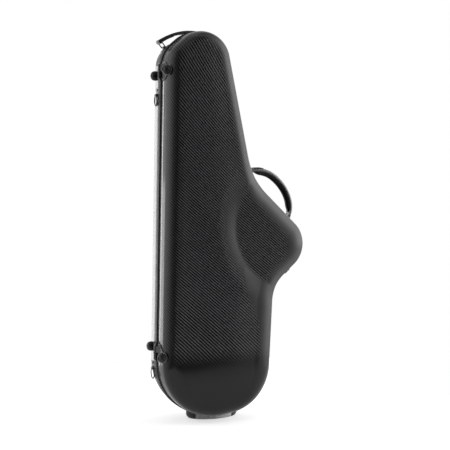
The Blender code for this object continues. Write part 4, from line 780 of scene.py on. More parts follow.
def wall_profile(inset, depth, radius, steps, lip=0.0):
    """Inset and depth of rows down a drafted wall, then round a quarter circle into the floor."""
    run = depth - radius
    angle = np.linspace(0, math.pi / 2, steps + 1)
    rows = np.column_stack((inset + DRAFT_SHARE * run + radius * (1 - np.cos(angle)),
                            run + radius * np.sin(angle)))
    start = [(inset, 0.0), (inset + DRAFT_SHARE * run / 2, run / 2)]
    if lip:
        turn = np.linspace(0, math.pi / 2, 4)
        start = [(inset + lip * (1 - math.sin(a)), lip * (1 - math.cos(a))) for a in turn] + start[1:]
    return np.concatenate((start, rows))


def blended_floor(ring, detail):
    """Places inside a ring, blended from its four sides, and how far each lies in from the ring.

    A point is the mean of the straight blends between left and right and between top and bottom, less
    the blend of the four corners.  The swell is four times the product of its two shares across, flattened
    near the ends, to the power 1.5, so that it starts level.
    """
    columns, rows = TOP_STEPS * detail, SIDE_STEPS * detail
    top, right = ring[:columns + 1], ring[columns:columns + rows + 1]
    bottom = ring[columns + rows:2 * columns + rows + 1][::-1]
    left = np.concatenate((ring[2 * columns + rows:], ring[:1]))[::-1]
    over = np.linspace(0, 1, columns + 1)[None, :, None]
    down = np.linspace(0, 1, rows + 1)[:, None, None]
    points = (1 - over) * left[:, None] + over * right[:, None] + (1 - down) * top[None] + down * bottom[None]
    points = points - (1 - down) * ((1 - over) * top[0] + over * top[-1])
    points = points - down * ((1 - over) * bottom[0] + over * bottom[-1])
    crown = (4 * over * (1 - over) * (1 - (2 * down - 1) ** 8))[..., 0] ** 1.5
    return points, crown


def ring_index(first, count, columns, rows, start):
    """Point numbers of a floor whose border is an existing ring and whose inside is new."""
    ring = first + np.arange(count)
    index = np.empty((rows + 1, columns + 1), int)
    index[0] = ring[:columns + 1]
    index[:, -1] = ring[columns:columns + rows + 1]
    index[-1] = ring[columns + rows:2 * columns + rows + 1][::-1]
    index[:, 0] = np.concatenate((ring[2 * columns + rows:], ring[:1]))[::-1]
    index[1:-1, 1:-1] = start + np.arange((rows - 1) * (columns - 1)).reshape(rows - 1, columns - 1)
    return index


def bowl(profile, edge_y, direction, scale, detail, flat=False):
    """One side of a shell: wall rows on the outline, then a floor.  Returns rows, floor and unrolled map.

    A wall point is the outline's point moved in by the row's inset, and its Y is the rim's plus the row's
    depth times the shell's scale there.  On the lid's right part the rounding reaches further in, by a
    quarter circle of its own.  The map lays the wall flat round the floor by its arc length.
    """
    points, normals = outline(detail)
    inset, depth = profile[:, :1], profile[:, 1:]
    if scale is lid_scale and not flat:
        s = bpy.context.scene.case_shell
        wider_from, wider_over = 0.075, 0.045
        round_share = np.clip(1 - (profile[-1, 1] - depth) / s.lid_round, 0, 1)
        wider = s.bell_rim * smooth((points[:, 0] - wider_from) / wider_over)
        inset = inset + wider * (1 - np.sqrt(1 - round_share ** 2))
    across = points[:, 0] - normals[:, 0] * inset
    height = points[:, 1] - normals[:, 1] * inset
    stretch = np.ones_like(across) if flat else scale(across, height, 0.0)
    rows = np.stack((across, edge_y + direction * depth * stretch, height), -1)
    places, crown = blended_floor(rows[-1][:, (0, 2)], detail)
    stretch = np.ones(places.shape[:2]) if flat else scale(places[..., 0], places[..., 1], crown)
    floor = np.stack((places[..., 0], edge_y + direction * profile[-1, 1] * stretch, places[..., 1]), -1)
    step = np.linalg.norm(np.diff(rows, axis=0), axis=2)
    left_to_go = np.concatenate((np.cumsum(step[::-1], axis=0)[::-1], np.zeros((1, rows.shape[1]))))
    spread = rows[-1][None, :, (0, 2)] + normals[None] * left_to_go[..., None]
    return rows, floor, spread, places


def shell_parts(bowls, detail):
    """Joins an outer and an inner bowl at their rims into one closed solid, with its map."""
    columns, lines = TOP_STEPS * detail, SIDE_STEPS * detail
    points, maps, faces, rims, first = [], [], [], [], 0
    for number, (rows, floor, spread, places) in enumerate(bowls):
        wall = numbered(rows, first)
        inner_start = first + wall.size
        index = ring_index(wall[-1, 0], rows.shape[1], columns, lines, inner_start)
        quads = np.concatenate((grid_quads(wall, wrap_columns=True), grid_quads(index)))
        faces.append(quads[:, ::-1] if number else quads)
        inside = floor[1:-1, 1:-1].reshape(-1, 3)
        points += [rows.reshape(-1, 3), inside]
        maps += [spread.reshape(-1, 2), places[1:-1, 1:-1].reshape(-1, 2)]
        rims.append(wall[0])
        first = inner_start + len(inside)
    faces.append(grid_quads(np.stack(rims), wrap_columns=True)[:, ::-1])
    return [(np.concatenate(points), np.concatenate(faces).tolist())], np.concatenate(maps)


class CASE_OT_shells(Operator):
    """Mould the lid and the tray as thin shells with a drafted wall, a deep rounding and a crowned face"""
    bl_idname = "case.shells"
    bl_label = "Moulded shells"

    def execute(self, context):
        s = context.scene.case_shell
        detail = context.scene.case_outline.detail
        for name, depth, radius, edge_y, direction, scale in (
                ("lid", s.lid_depth, s.lid_round, s.seam, -1, lid_scale),
                ("tray", s.tray_depth, s.tray_round, s.tray_edge, 1, tray_scale)):
            outer = bowl(wall_profile(0.0, depth, radius, 12, 0.0009), edge_y, direction, scale, detail)
            inner = wall_profile(s.wall, depth - s.wall, radius - s.wall, 6)
            inner = bowl(inner, edge_y, direction, scale, detail)
            parts, unrolled = shell_parts((outer, inner), detail)
            twill = finish_named("Carbon twill under clear coat")
            piece = make_piece(f"{name}_moulded_shell", parts, twill, uv=unrolled, sharp=60)
            fitted(piece, name, "shell_black", f"{name}_shell")
        return {"FINISHED"}


def edge_ring(name, section, material, detail):
    """A section of inset and Y carried round the outline.  Its map runs along the ring, then across it."""
    points, normals = outline(detail)
    across = points[:, None, 0] - normals[:, None, 0] * section[None, :, 0]
    height = points[:, None, 1] - normals[:, None, 1] * section[None, :, 0]
    rows = joined(across, section[:, 1], height)
    unrolled = joined(lengths_along(points)[:, None], section[:, 1]).reshape(-1, 2)
    return make_piece(name, [grid_part(rows, wrap_rows=True, wrap_columns=True)], material, uv=unrolled)


class CASE_OT_edges(Operator):
    """Lay the metal band, the soft seal and the lid's inner frame round the case"""
    bl_idname = "case.edges"
    bl_label = "Band, seal and frame"

    def execute(self, context):
        s = context.scene.case_shell
        detail = context.scene.case_outline.detail
        gap = 0.0003
        front, back = s.band_front, s.band_front + s.band_width
        lip_back = front + 0.002
        band = filleted([(-s.band_proud, front), (0.005, front), (0.005, lip_back), (-gap, lip_back),
                         (-gap, back), (-s.band_proud, back)], 0.0006, 3)
        seal_front, seal_back = s.seam + gap, front - gap
        bead = filleted([(0.0002, seal_front), (0.006, seal_front), (0.006, seal_back), (0.0002, seal_back)],
                        0.0026, 5)
        deep = s.seam - 0.012
        inner = filleted([(0.0033, s.seam), (0.0051, s.seam), (0.0055, deep), (0.0037, deep)], 0.0005, 3)
        for name, section, finish, body, slot, node in (
                ("tray_edge_band", band, "Band metal", "tray", "band_grey", "tray_band"),
                ("tray_rim_seal", bead, "Soft rubber", "tray", "rubber_black", "rim_seal"),
                ("lid_inner_frame", inner, "Band metal", "lid", "band_grey", "lid_frame")):
            fitted(edge_ring(name, section, finish_named(finish), detail), body, slot, node)
        return {"FINISHED"}


def lining_parts(depth, radius, edge_y, setback, direction, scale, floor_depth, pocket, detail):
    """A foam lining: its outer side follows the shell, its rim is rolled, and its floor is softly swollen.

    The floor swells by a millimetre or two on a slow wave; a round pocket is sunk into it with a smooth wall.
    """
    skin, wall, rim_depth, hollow_round = 0.0033, 0.012, 0.005, 0.018
    outer_profile = wall_profile(skin, depth - skin, radius - skin, 3)
    outer_profile = outer_profile[outer_profile[:, 1] > setback]
    outer_profile = np.concatenate(([(skin + DRAFT_SHARE * setback, setback + 0.001)], outer_profile))
    outer = bowl(outer_profile, edge_y, direction, scale, detail)
    turn = np.linspace(0, math.pi, 7)[1:]
    roll = np.column_stack((skin + DRAFT_SHARE * setback + wall * (1 - np.cos(turn)) / 2,
                            setback + rim_depth * (1 - np.sin(turn))))
    hollow = wall_profile(skin + wall, floor_depth, hollow_round, 5)
    hollow = hollow[hollow[:, 1] > setback + rim_depth + 0.001]
    hollow = np.concatenate((roll, hollow))
    rows, floor, spread, places = bowl(hollow, edge_y, direction, scale, detail, flat=True)
    wave = 0.0012 * np.sin(places[..., 0] * 95) * np.sin(places[..., 1] * 60)
    swell = wave * smooth(blended_floor(rows[-1][:, (0, 2)], detail)[1] * 4)
    if pocket:
        across, height, flat_radius, rim_radius, drop = pocket
        away = np.hypot(places[..., 0] - across, places[..., 1] - height)
        swell = swell + drop * smooth((rim_radius - away) / (rim_radius - flat_radius))
    floor[..., 1] += direction * swell
    return shell_parts((outer, (rows, floor, spread, places)), detail)


class CASE_OT_linings(Operator):
    """Line both shells with plush over foam, with a bow rest and a strap in the tray"""
    bl_idname = "case.linings"
    bl_label = "Linings"

    def execute(self, context):
        s = context.scene.case_shell
        bell = context.scene.case_outline.bell
        plush = finish_named("Black plush")
        pocket = (bell[0] + LOBE_FROM_BELL[0], bell[1] + LOBE_FROM_BELL[1], 0.052, 0.070, 0.046)
        for body, shape in (
                ("lid", (s.lid_depth, s.lid_round, s.seam, 0.0123, -1, lid_scale, 0.036, None)),
                ("tray", (s.tray_depth, s.tray_round, s.tray_edge, 0.0, 1, tray_scale,
                          s.tray_depth - 0.015, pocket))):
            parts, unrolled = lining_parts(*shape, detail=5)
            lining = make_piece(f"{body}_plush_lining", parts, plush, uv=unrolled, sharp=180)
            fitted(lining, body, "plush", f"{body}_liner")
        self.bow_rest(plush)
        self.body_strap()
        return {"FINISHED"}

    def bow_rest(self, plush):
        """Foam block with a round rest.

        Its outline is the tray's inner outline below the block's top, closed by an arc.  Its front and back
        are rounded by rows that shrink towards its middle.
        """
        top, above_top, rest_radius = 0.085, 0.018, 0.048
        points, normals = outline(3)
        inner = points - normals * 0.0172
        low = inner[inner[:, 1] < top]
        centre = np.array((low[:, 0].mean(), top + above_top))
        angle = math.acos(above_top / rest_radius) * (2 * np.linspace(0, 1, 41) - 1)
        rest = centre + rest_radius * np.column_stack((np.sin(angle), -np.cos(angle)))
        edge = filleted(np.concatenate((low, rest)), 0.0004, 2)
        middle = edge.mean(0)
        shrink = np.array((0.0, 0.35, 0.7, 0.86, 0.94, 0.98, 1.0, 1.0, 0.98, 0.94, 0.86, 0.7, 0.35, 0.0))
        depth = np.array((0.0, 0.0, 0.0006, 0.0016, 0.003, 0.0052, 0.009, 0.0212, 0.025, 0.0272, 0.0286,
                          0.0296, 0.0302, 0.0302))
        front = -0.0049
        flat = middle + shrink[:, None, None] * (edge - middle)[None]
        rows = joined(flat[..., 0], front + depth[:, None], flat[..., 1])
        block = make_piece("tray_bow_rest", [grid_part(rows, wrap_columns=True)], plush, sharp=180)
        fitted(block, "tray", "plush", "bow_block")

    def body_strap(self):
        """Webbing across the tray: a straight run between its two ends, with a sine's slight sag."""
        height, half_wide, from_wall, front, sag = 0.600, 0.0195, 0.007, -0.0066, 0.0005
        left, right = (spot(side, height)[0] for side in (-1, 1))
        share = np.linspace(0, 1, 41)
        start, end = left[0] + from_wall, right[0] - from_wall
        path = joined(start + (end - start) * share, front + sag * np.sin(share * math.pi), height)
        section = rounded_rectangle(0.0009, half_wide, 0.0005)
        part = carried_part(path, BACK, UP, section)
        unrolled = joined(path[:, :1], section[:, 1] / half_wide).reshape(-1, 2)
        strap = make_piece("tray_body_strap", [part], finish_named("Webbing"), uv=unrolled)
        fitted(strap, "tray", "plush", "body_strap")


# Hinges and bumpers

# Label, height, and how far down from the hinge's middle the bumpers sit on the lid and on the tray; a
# negative one sits further up
HINGES = (("upper", 0.769, 0.0, 0.0075), ("lower", 0.1555, 0.0055, -0.0095))
HINGE_OUT, HINGE_BACK = 0.0064, 0.004
KNUCKLE_GAP = 0.00015
LEAF_LIFT = 0.0003
LEAF_TIP = 0.0100
NECK_START = 0.010
RIVET_SPREAD = 0.0135


def lid_wall_run(distance, lift):
    """Out and back coordinates on the lid's profile: down the drafted wall, then round its rounding."""
    s = bpy.context.scene.case_shell
    run = s.lid_depth - s.lid_round
    angle = np.clip((distance - run) / s.lid_round, 0, None)
    wall = np.minimum(distance, run)
    out = -DRAFT_SHARE * wall - s.lid_round + (s.lid_round + lift) * np.cos(angle)
    back = -wall - (s.lid_round + lift) * np.sin(angle)
    return out, back, angle


def leaf_rows(start, middle, count):
    """Distances of a leaf's rows: even as far as its bumper's middle, then a sine to the end of its tip."""
    quarter = np.linspace(0.1, 1, 12) * math.pi / 2
    return np.concatenate((np.linspace(start, middle, count), middle + LEAF_TIP * np.sin(quarter)))


def leaf_halves(distance, middle, half):
    """Half height of a leaf: full at its barrel, drawn in smoothly, then a half disc round its bumper."""
    neck = LEAF_TIP + (half - LEAF_TIP) * (1 - smooth((distance - NECK_START) / (middle - NECK_START)))
    tip = np.sqrt(np.clip(LEAF_TIP ** 2 - np.clip(distance - middle, 0, None) ** 2, 0, None))
    return np.where(distance > middle, tip, neck)


def bumper_profile(h):
    """Radius and height of a bumper: straight foot, quarter ellipse, then a flat face with a screw's dip."""
    foot, face_radius = 0.003, 0.0045
    angle = np.linspace(0, math.pi / 2, 8)[:-1]
    dome = np.column_stack((face_radius + (h.bumper_radius - face_radius) * np.cos(angle),
                            foot + (h.bumper_height - foot) * np.sin(angle)))
    dip = h.bumper_height - np.array((0.0, 0.0002, 0.0014, 0.0016, 0.0016))
    face = np.column_stack(((face_radius, 0.0032, 0.0029, 0.0025, 0.0), dip))
    edge = [(0.0, 0.0), (h.bumper_radius - 0.0003, 0.0), (h.bumper_radius, 0.0004)]
    return np.concatenate((edge, dome, face))


def rivet_part(place, radius, height):
    """A low dome: radius times cosine out, height times sine up."""
    sunk = -0.0004
    angle = np.linspace(0, math.pi / 2, 5)
    profile = np.column_stack((radius * np.cos(angle), height * np.sin(angle)))
    return turned_part(np.concatenate(([(0.0, sunk), (radius, sunk)], profile)), place, 16)


def moved(place, out=0.0, back=0.0, along=0.0):
    origin, axes = place
    return origin + out * axes[0] + back * axes[1] + along * axes[2], axes


def tilted(place, angle):
    """A frame turned about its third axis, out towards the front."""
    origin, axes = place
    out = math.cos(angle) * axes[0] - math.sin(angle) * axes[1]
    return origin, np.array((out, math.sin(angle) * axes[0] + math.cos(angle) * axes[1], axes[2]))


class CASE_OT_hinges(Operator):
    """Make both hinges: leaves with round ends, knuckles, rivets, washers and rubber bumpers"""
    bl_idname = "case.hinges"
    bl_label = "Hinges and bumpers"

    def execute(self, context):
        for label, height, lid_shift, tray_shift in HINGES:
            place = wall_frame(-1, height, context.scene.case_shell.seam)
            self.lid_leaf(context.scene.case_hardware, label, place, lid_shift)
            self.tray_leaf(context.scene.case_hardware, label, place, tray_shift)
        return {"FINISHED"}

    def knuckle(self, h, place, start, end):
        """Tube about the hinge's axis whose ends are slightly rounded."""
        origin, axes = moved(place, HINGE_OUT, HINGE_BACK)
        outer, inner, ease = h.knuckle_radius, 0.0020, 0.0003
        profile = [(inner, start), (outer - ease, start), (outer, start + ease), (outer, end - ease),
                   (outer - ease, end), (inner, end), (inner, start)]
        return turned_part(profile, (origin, axes[[2, 0, 1]]), 28)

    def tongue(self, place, front_out, front_back, start, end):
        """Strip that rises from the leaf to the barrel along a smooth step."""
        thickness = 0.0014
        share = np.linspace(0, 1, 9)
        out = (front_out + (HINGE_OUT - front_out) * smooth(share))[:, None]
        back = (front_back + (HINGE_BACK - front_back) * share)[:, None]
        along = np.array((start, end))
        return plate_part(place, (out + thickness, back, along), (out, back, along))

    def leaf(self, h, names, body, place, shape, knuckle_run, tongue, rivet_spot):
        """One leaf and its rivets.

        The shape is a profile of out, back and slope, then each row's half height and its drift along the
        hinge.  The plate's rows lie on the profile, raised along its normal, and each is spread evenly on
        both sides of its drift.
        """
        (out, back, slope), half, drift = shape
        along = drift[:, None] + half[:, None] * np.linspace(-1, 1, 13)
        grids = [((out + np.cos(slope) * lift)[:, None], (back - np.sin(slope) * lift)[:, None], along)
                 for lift in (h.leaf_thickness, 0.0)]
        parts = [plate_part(place, *grids), self.knuckle(h, place, *knuckle_run), self.tongue(place, *tongue)]
        piece, node = names
        metal = finish_named("Hinge metal")
        fitted(make_piece(f"{piece}_leaf", parts, metal, bevel=0.0003), body, "dark_metal", node)
        rivets = [rivet_part(moved(place, *rivet_spot, step), h.rivet_radius, 0.001)
                  for step in (-RIVET_SPREAD, RIVET_SPREAD)]
        fitted(make_piece(f"{piece}_rivets", rivets, metal), body, "dark_metal")

    def lid_leaf(self, h, label, place, shift):
        """The leaf on the lid runs down the wall and a fifth of the way round the rounding."""
        s = bpy.context.scene.case_shell
        slope = 0.20 * math.pi / 2
        middle = s.lid_depth - s.lid_round + s.lid_round * slope
        distance = leaf_rows(0.0004, middle, 22)
        drift = shift * smooth((distance - 0.008) / (middle - 0.010))
        shape = lid_wall_run(distance, LEAF_LIFT), leaf_halves(distance, middle, h.leaf_half), drift
        self.leaf(h, (f"{label}_hinge_front", f"{label}_hinge_lid_leaf"), "lid", place, shape,
                  (-h.knuckle_length, -KNUCKLE_GAP), (0.0007, -0.007, -h.knuckle_length + 0.0003, -0.0005),
                  (0.0018, -0.012))
        out, back, _slope = lid_wall_run(np.array(middle), LEAF_LIFT + h.leaf_thickness)
        on_leaf = tilted(moved(place, float(out), float(back), shift), slope)
        self.bumper(h, f"{label}_lid", "lid", on_leaf)

    def tray_leaf(self, h, label, place, shift):
        """The leaf on the tray lies over the band and steps down to the shell behind it."""
        middle, over_band, step = 0.034, 0.0021, 0.0018
        distance = leaf_rows(0.0081, middle, 16)
        drift = shift * smooth((distance - 0.012) / (middle - 0.014))
        out = over_band - step * smooth((distance - 0.026) / 0.004)
        shape = (out, distance, np.zeros_like(distance)), leaf_halves(distance, middle, h.leaf_half), drift
        self.leaf(h, (f"{label}_hinge_rear", f"{label}_hinge_tray_leaf"), "tray", place, shape,
                  (KNUCKLE_GAP, h.knuckle_length), (over_band, 0.0105, 0.0005, h.knuckle_length - 0.0003),
                  (0.0036, 0.0155))
        on_leaf = moved(place, over_band - step + h.leaf_thickness, middle, shift)
        self.bumper(h, f"{label}_tray", "tray", on_leaf)

    def bumper(self, h, label, body, place):
        """Washer, rubber bumper and screw standing on a leaf."""
        washer = [(0.002, 0.0), (0.0106, 0.0), (0.0108, 0.0003), (0.0108, 0.0009), (0.0104, 0.0012),
                  (0.002, 0.0012), (0.002, 0.0)]
        screw = [(0.0, 0.0115), (0.0021, 0.0115), (0.0022, 0.0121), (0.0015, 0.0126), (0.0, 0.0127)]
        dome = bumper_profile(h) + np.array((0.0, 0.0014))
        for piece, profile, sides, finish, sharp, slot, nodes in (
                ("ring", washer, 40, "Bright steel", 40, "steel", [f"{label}_bumper_washer"]),
                ("dome", dome, 40, "Soft rubber", 50, "rubber_black", [f"{label}_bumper"]),
                ("screw", screw, 20, "Hardware metal", 40, "dark_metal", [])):
            part = turned_part(profile, place, sides)
            fitted(make_piece(f"{label}_bumper_{piece}", [part], finish_named(finish), sharp=sharp),
                   body, slot, *nodes)


# Rings, brackets and handles

def joint_place(name):
    joint = JOINTS[name]
    return np.array(joint["pos_m"], float), np.array(joint["axis"], float)


def node_middle(name):
    """Middle of a solid's own box."""
    low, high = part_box(name)
    return (np.array(low) + np.array(high)) / 2


def turned_to(vector, axis):
    """A vector or its opposite, whichever has a positive coordinate on the given axis."""
    return vector if vector[axis] > 0 else -vector


def wire_ring(name, body, corners, radius, pivot, bar, reach):
    """Wire bent round a flat shape with rounded corners, measured along the bar and the reach."""
    flat = filleted(corners, radius, 6)
    path = pivot + flat[:, :1] * bar + flat[:, 1:] * reach
    over = np.cross(bar, reach)
    section = disc(bpy.context.scene.case_hardware.ring_wire, 12)
    ring = carried_part(path, flat_sides(path, over, True), over, section, True)
    fitted(make_piece(name, [ring], finish_named("Blackened wire")), body, "steel", body)


class CASE_OT_strap_rings(Operator):
    """Hang a bent wire ring in each shoulder strap bracket and rivet the brackets down"""
    bl_idname = "case.strap_rings"
    bl_label = "Strap rings"

    def execute(self, context):
        shape = [(-0.0078, 0.0), (0.0078, 0.0), (0.012, 0.007), (0.012, 0.015), (0.004, 0.023),
                 (-0.004, 0.023), (-0.012, 0.015), (-0.012, 0.007)]
        for label, side in (("upper_left", -1), ("lower_left", -1), ("upper_right", 1), ("lower_right", 1)):
            pivot, bar = joint_place(f"{label}_strap_ring_swing")
            wire_ring(f"{label}_wire_ring", f"{label}_strap_ring", shape, 0.002, pivot, bar,
                      self.reach(side, pivot, bar))
            self.rivets(context.scene.case_hardware, label, side, pivot)
        return {"FINISHED"}

    def reach(self, side, pivot, bar):
        """Straight down, or down along the wall where it leans out below the ring, square to the bar."""
        normal = spot(side, pivot[2])[1]
        down = -UP
        if normal[1] >= 0:
            down = -turned_to(np.array((normal[1], 0.0, -normal[0])), 2)
        down = down - bar * (down @ bar)
        return down / np.linalg.norm(down)

    def rivets(self, h, label, side, pivot):
        """Rivets on the plate at both ends of a bracket, whose height comes from the bracket's solid."""
        origin, axes = wall_frame(side, pivot[2], pivot[1])
        centre = node_middle(f"{label}_strap_bracket")
        solid = NODES[f"{label}_strap_bracket"].data.vertices
        points = np.empty(len(solid) * 3)
        solid.foreach_get("co", points)
        offset = (points.reshape(-1, 3) - centre) @ axes.T
        plate = offset[abs(offset[:, 2]) > 0.012, 0].max()
        lean = (origin - wall_frame(side, centre[2], centre[1])[0]) @ axes[0]
        parts = [rivet_part(moved((centre, axes), plate + lean, 0.0, step), h.rivet_radius, 0.0011)
                 for step in (-0.0145, 0.0145)]
        rivets = make_piece(f"{label}_bracket_rivets", parts, finish_named("Hardware metal"))
        fitted(rivets, "tray", "dark_metal")


class CASE_OT_top_handle(Operator):
    """Loop a padded strap between two wire rings at the top of the tray"""
    bl_idname = "case.top_handle"
    bl_label = "Top handle"

    def execute(self, context):
        depth, half = 0.016, 0.012
        shape = [(-half, 0.0), (half, 0.0), (half, depth), (-half, depth)]
        bars = []
        for label, side, lean in (("left", -1, math.radians(3)), ("right", 1, math.radians(56))):
            pivot = joint_place(f"top_handle_{label}_ring_swing")[0]
            normal = spot(side, pivot[2])[1]
            turn = side * lean
            reach = np.array((normal[0] * math.cos(turn) - normal[1] * math.sin(turn), 0.0,
                              normal[0] * math.sin(turn) + normal[1] * math.cos(turn)))
            bars.append(pivot + depth * reach)
            wire_ring(f"top_handle_{label}_wire", f"top_handle_{label}_ring", shape, 0.003, pivot, BACK,
                      reach)
        self.strap(context.scene.case_hardware, *bars)
        return {"FINISHED"}

    def strap(self, h, left, right):
        """Strap on a circle's arc between the bars, wrapped round each bar and sewn back under itself.

        The side that faces the case swells between the bars by a smooth step from both ends.
        """
        arch, thick, round_bar, lap, padding = 0.0195, 0.0040, 0.0012, 14, 0.0026
        span = np.linalg.norm(right - left)
        along = (right - left) / span
        rise = turned_to(np.cross(along, BACK), 2)
        radius = (span * span / 4 + arch * arch) / (2 * arch)
        half = math.asin(span / 2 / radius)
        angle = np.linspace(half, -half, 61)
        arc = np.column_stack((-radius * np.sin(angle), radius * np.cos(angle) - radius + arch))
        outward = np.column_stack((-np.sin(angle), np.cos(angle)))
        top = arc + outward * thick / 2
        turn = np.linspace(0, math.pi, 12)[1:-1]
        loops = []
        for sign, direction in ((1, outward[-1]), (-1, outward[0])):
            side = np.array((direction[1], -direction[0])) * sign
            turning = np.cos(turn)[:, None] * direction + np.sin(turn)[:, None] * side
            loops.append(np.array((sign * span / 2, 0.0)) + (round_bar + thick / 2) * turning)
        under_right = arc[-1 - lap:-1][::-1] - outward[-1 - lap:-1][::-1] * thick / 2
        under_left = arc[1:lap + 1] - outward[1:lap + 1] * thick / 2
        flat = np.concatenate((under_left[::-1], loops[1][::-1], top[2:-2], loops[0], under_right))
        path = (left + right) / 2 + flat[:, :1] * along + flat[:, 1:] * rise
        section = rounded_rectangle(thick / 2 - 0.0001, h.top_strap_width / 2, 0.0007)
        run = lengths_along(path)
        unrolled = joined(run[:, None], section[:, 1] / (h.top_strap_width / 2)).reshape(-1, 2)
        sides = flat_sides(path, BACK)
        towards = np.sign(sides[len(path) // 2] @ rise)
        swell = padding * smooth((0.30 - abs(run / run[-1] - 0.47)) / 0.12)[:, None]
        swollen = np.broadcast_to(section, (len(path), *section.shape)).copy()
        inner = swollen[..., 0] * towards < 0
        swollen[..., 0] = np.where(inner, swollen[..., 0] - towards * swell, swollen[..., 0])
        strap = make_piece("top_handle_webbing", [carried_part(path, sides, BACK, swollen)],
                           finish_named("Webbing"), uv=unrolled)
        fitted(strap, "top_handle_strap", "leather_black", "top_handle_strap")


class CASE_OT_side_handle(Operator):
    """Make the side handle: a sewn strap over a padded grip, with end lugs round its pins"""
    bl_idname = "case.side_handle"
    bl_label = "Side handle"

    def execute(self, context):
        h = context.scene.case_hardware
        centre, axis = joint_place("side_handle_hinge")
        along = -turned_to(axis, 2)
        place = centre, along, turned_to(np.cross(BACK, along), 0)
        pins = [node_middle(f"side_handle_{label}_pin") for label in ("upper", "lower")]
        half = np.linalg.norm(pins[1] - pins[0]) / 2
        self.strap(h, place, half)
        self.grip(h, place, half)
        return {"FINISHED"}

    def arch(self, h, half, share, count, lift=0.0):
        """Points of a half ellipse without its ends, and unit vectors square to it.

        It is a little sunk near the upper end.
        """
        sunk, sunk_from, sunk_over = 0.09, 0.030, 0.04
        angle = np.linspace(-1, 1, count) * math.pi / 2 * share
        settle = 1 - sunk * smooth((-half * np.sin(angle) - sunk_from) / sunk_over)
        path = np.column_stack((half * np.sin(angle), h.handle_rise * np.cos(angle) * settle))
        travel = np.gradient(path, axis=0)
        square = np.column_stack((-travel[:, 1], travel[:, 0]))
        square = square / np.linalg.norm(square, axis=1)[:, None]
        return path + square * lift, square

    def layer(self, h, place, path, square, section):
        """A section carried along a path in the handle's plane, and its map."""
        centre, along, out = place
        world = centre + path[:, :1] * along + path[:, 1:] * out
        sides = square[:, :1] * along + square[:, 1:] * out
        unrolled = joined(lengths_along(world)[:, None], section[..., 1] / (h.strap_width / 2))
        return carried_part(world, sides, BACK, section), unrolled.reshape(-1, 2)

    def strap(self, h, place, half):
        """Crowned outer strap, a sewn lap near its upper end, and a lug at each end.

        The outer side is a sine that rises by the crown; the inner side is flat.  The crown and the depth
        shrink towards the lugs.
        """
        half_wide = h.strap_width / 2
        between_lugs, count = 0.955, 121
        path, square = self.arch(h, half, between_lugs, count)
        full = smooth((1 - abs(np.linspace(-1, 1, count)[:, None])) / 0.22)
        angle = np.linspace(0, math.pi, 25)
        crown = 0.002 - (0.0012 + 0.0055 * full) * (1 - np.sin(angle))
        outer = joined(crown, -np.cos(angle) * half_wide)
        inner = joined(-(0.0055 + 0.0007 * full), np.linspace(1, -1, 13) * (half_wide - 0.0008))
        layers = [self.layer(h, place, path, square, np.concatenate((outer, inner), axis=1))]
        path, square = self.arch(h, half, between_lugs, 161, 0.0020)
        lap = slice(4, 40)
        taper = smooth(np.linspace(4.0, 0.0, 36))[:, None, None]
        thin = rounded_rectangle(0.0010, half_wide * 0.97, 0.0008)
        thin = thin * np.concatenate((0.35 + 0.65 * taper, 0.85 + 0.15 * taper), axis=2)
        layers.append(self.layer(h, place, path[lap], square[lap], thin))
        layers += [self.lug(place, end * half) for end in (-1, 1)]
        parts, maps = zip(*layers)
        strap = make_piece("side_handle_sewn_strap", parts, finish_named("Handle strap"),
                           uv=np.concatenate(maps))
        fitted(strap, "side_handle", "leather_black", "side_handle_strap")

    def lug(self, place, offset):
        """Short tube round a pin, with eased outer edges."""
        centre, along, out = place
        reach, bore, ease = 0.006, 0.0022, 0.0012
        nearly, eased = reach - 0.3 * ease, reach - ease
        profile = [(bore, -reach), (eased, -reach), (nearly, -nearly), (reach, -eased), (reach, eased),
                   (nearly, nearly), (eased, reach), (bore, reach), (bore, -reach)]
        part = turned_part(profile, (centre + along * offset, np.array((BACK, along, out))), 32)
        return part, np.column_stack((part[0][:, 2], np.zeros(len(part[0]))))

    def grip(self, h, place, half):
        """Padded roll under the strap.  Its section is a D whose depth swells smoothly from both ends."""
        count, under, half_wide, depth = 81, -0.0064, 0.0088, 0.0088
        path, square = self.arch(h, half, 0.78, count)
        share = np.linspace(-1, 1, count)[:, None]
        swell = np.sqrt(smooth((1 - abs(share)) / 0.3)) * (0.95 + 0.05 * np.cos(share * math.pi))
        angle = np.linspace(0, math.pi, 21)
        wide = half_wide * (0.75 + 0.25 * swell)
        round_side = joined(under - depth * np.sin(angle) ** 0.8 * swell, np.cos(angle) * wide)
        flat_side = joined(under, np.linspace(-1, 1, 11)[None, 1:-1] * wide)
        part = self.layer(h, place, path, square, np.concatenate((round_side, flat_side), axis=1))[0]
        piece = make_piece("side_handle_padded_grip", [part], finish_named("Soft rubber"), sharp=60)
        fitted(piece, "side_handle", "rubber_black", "side_handle_grip")


# Latches

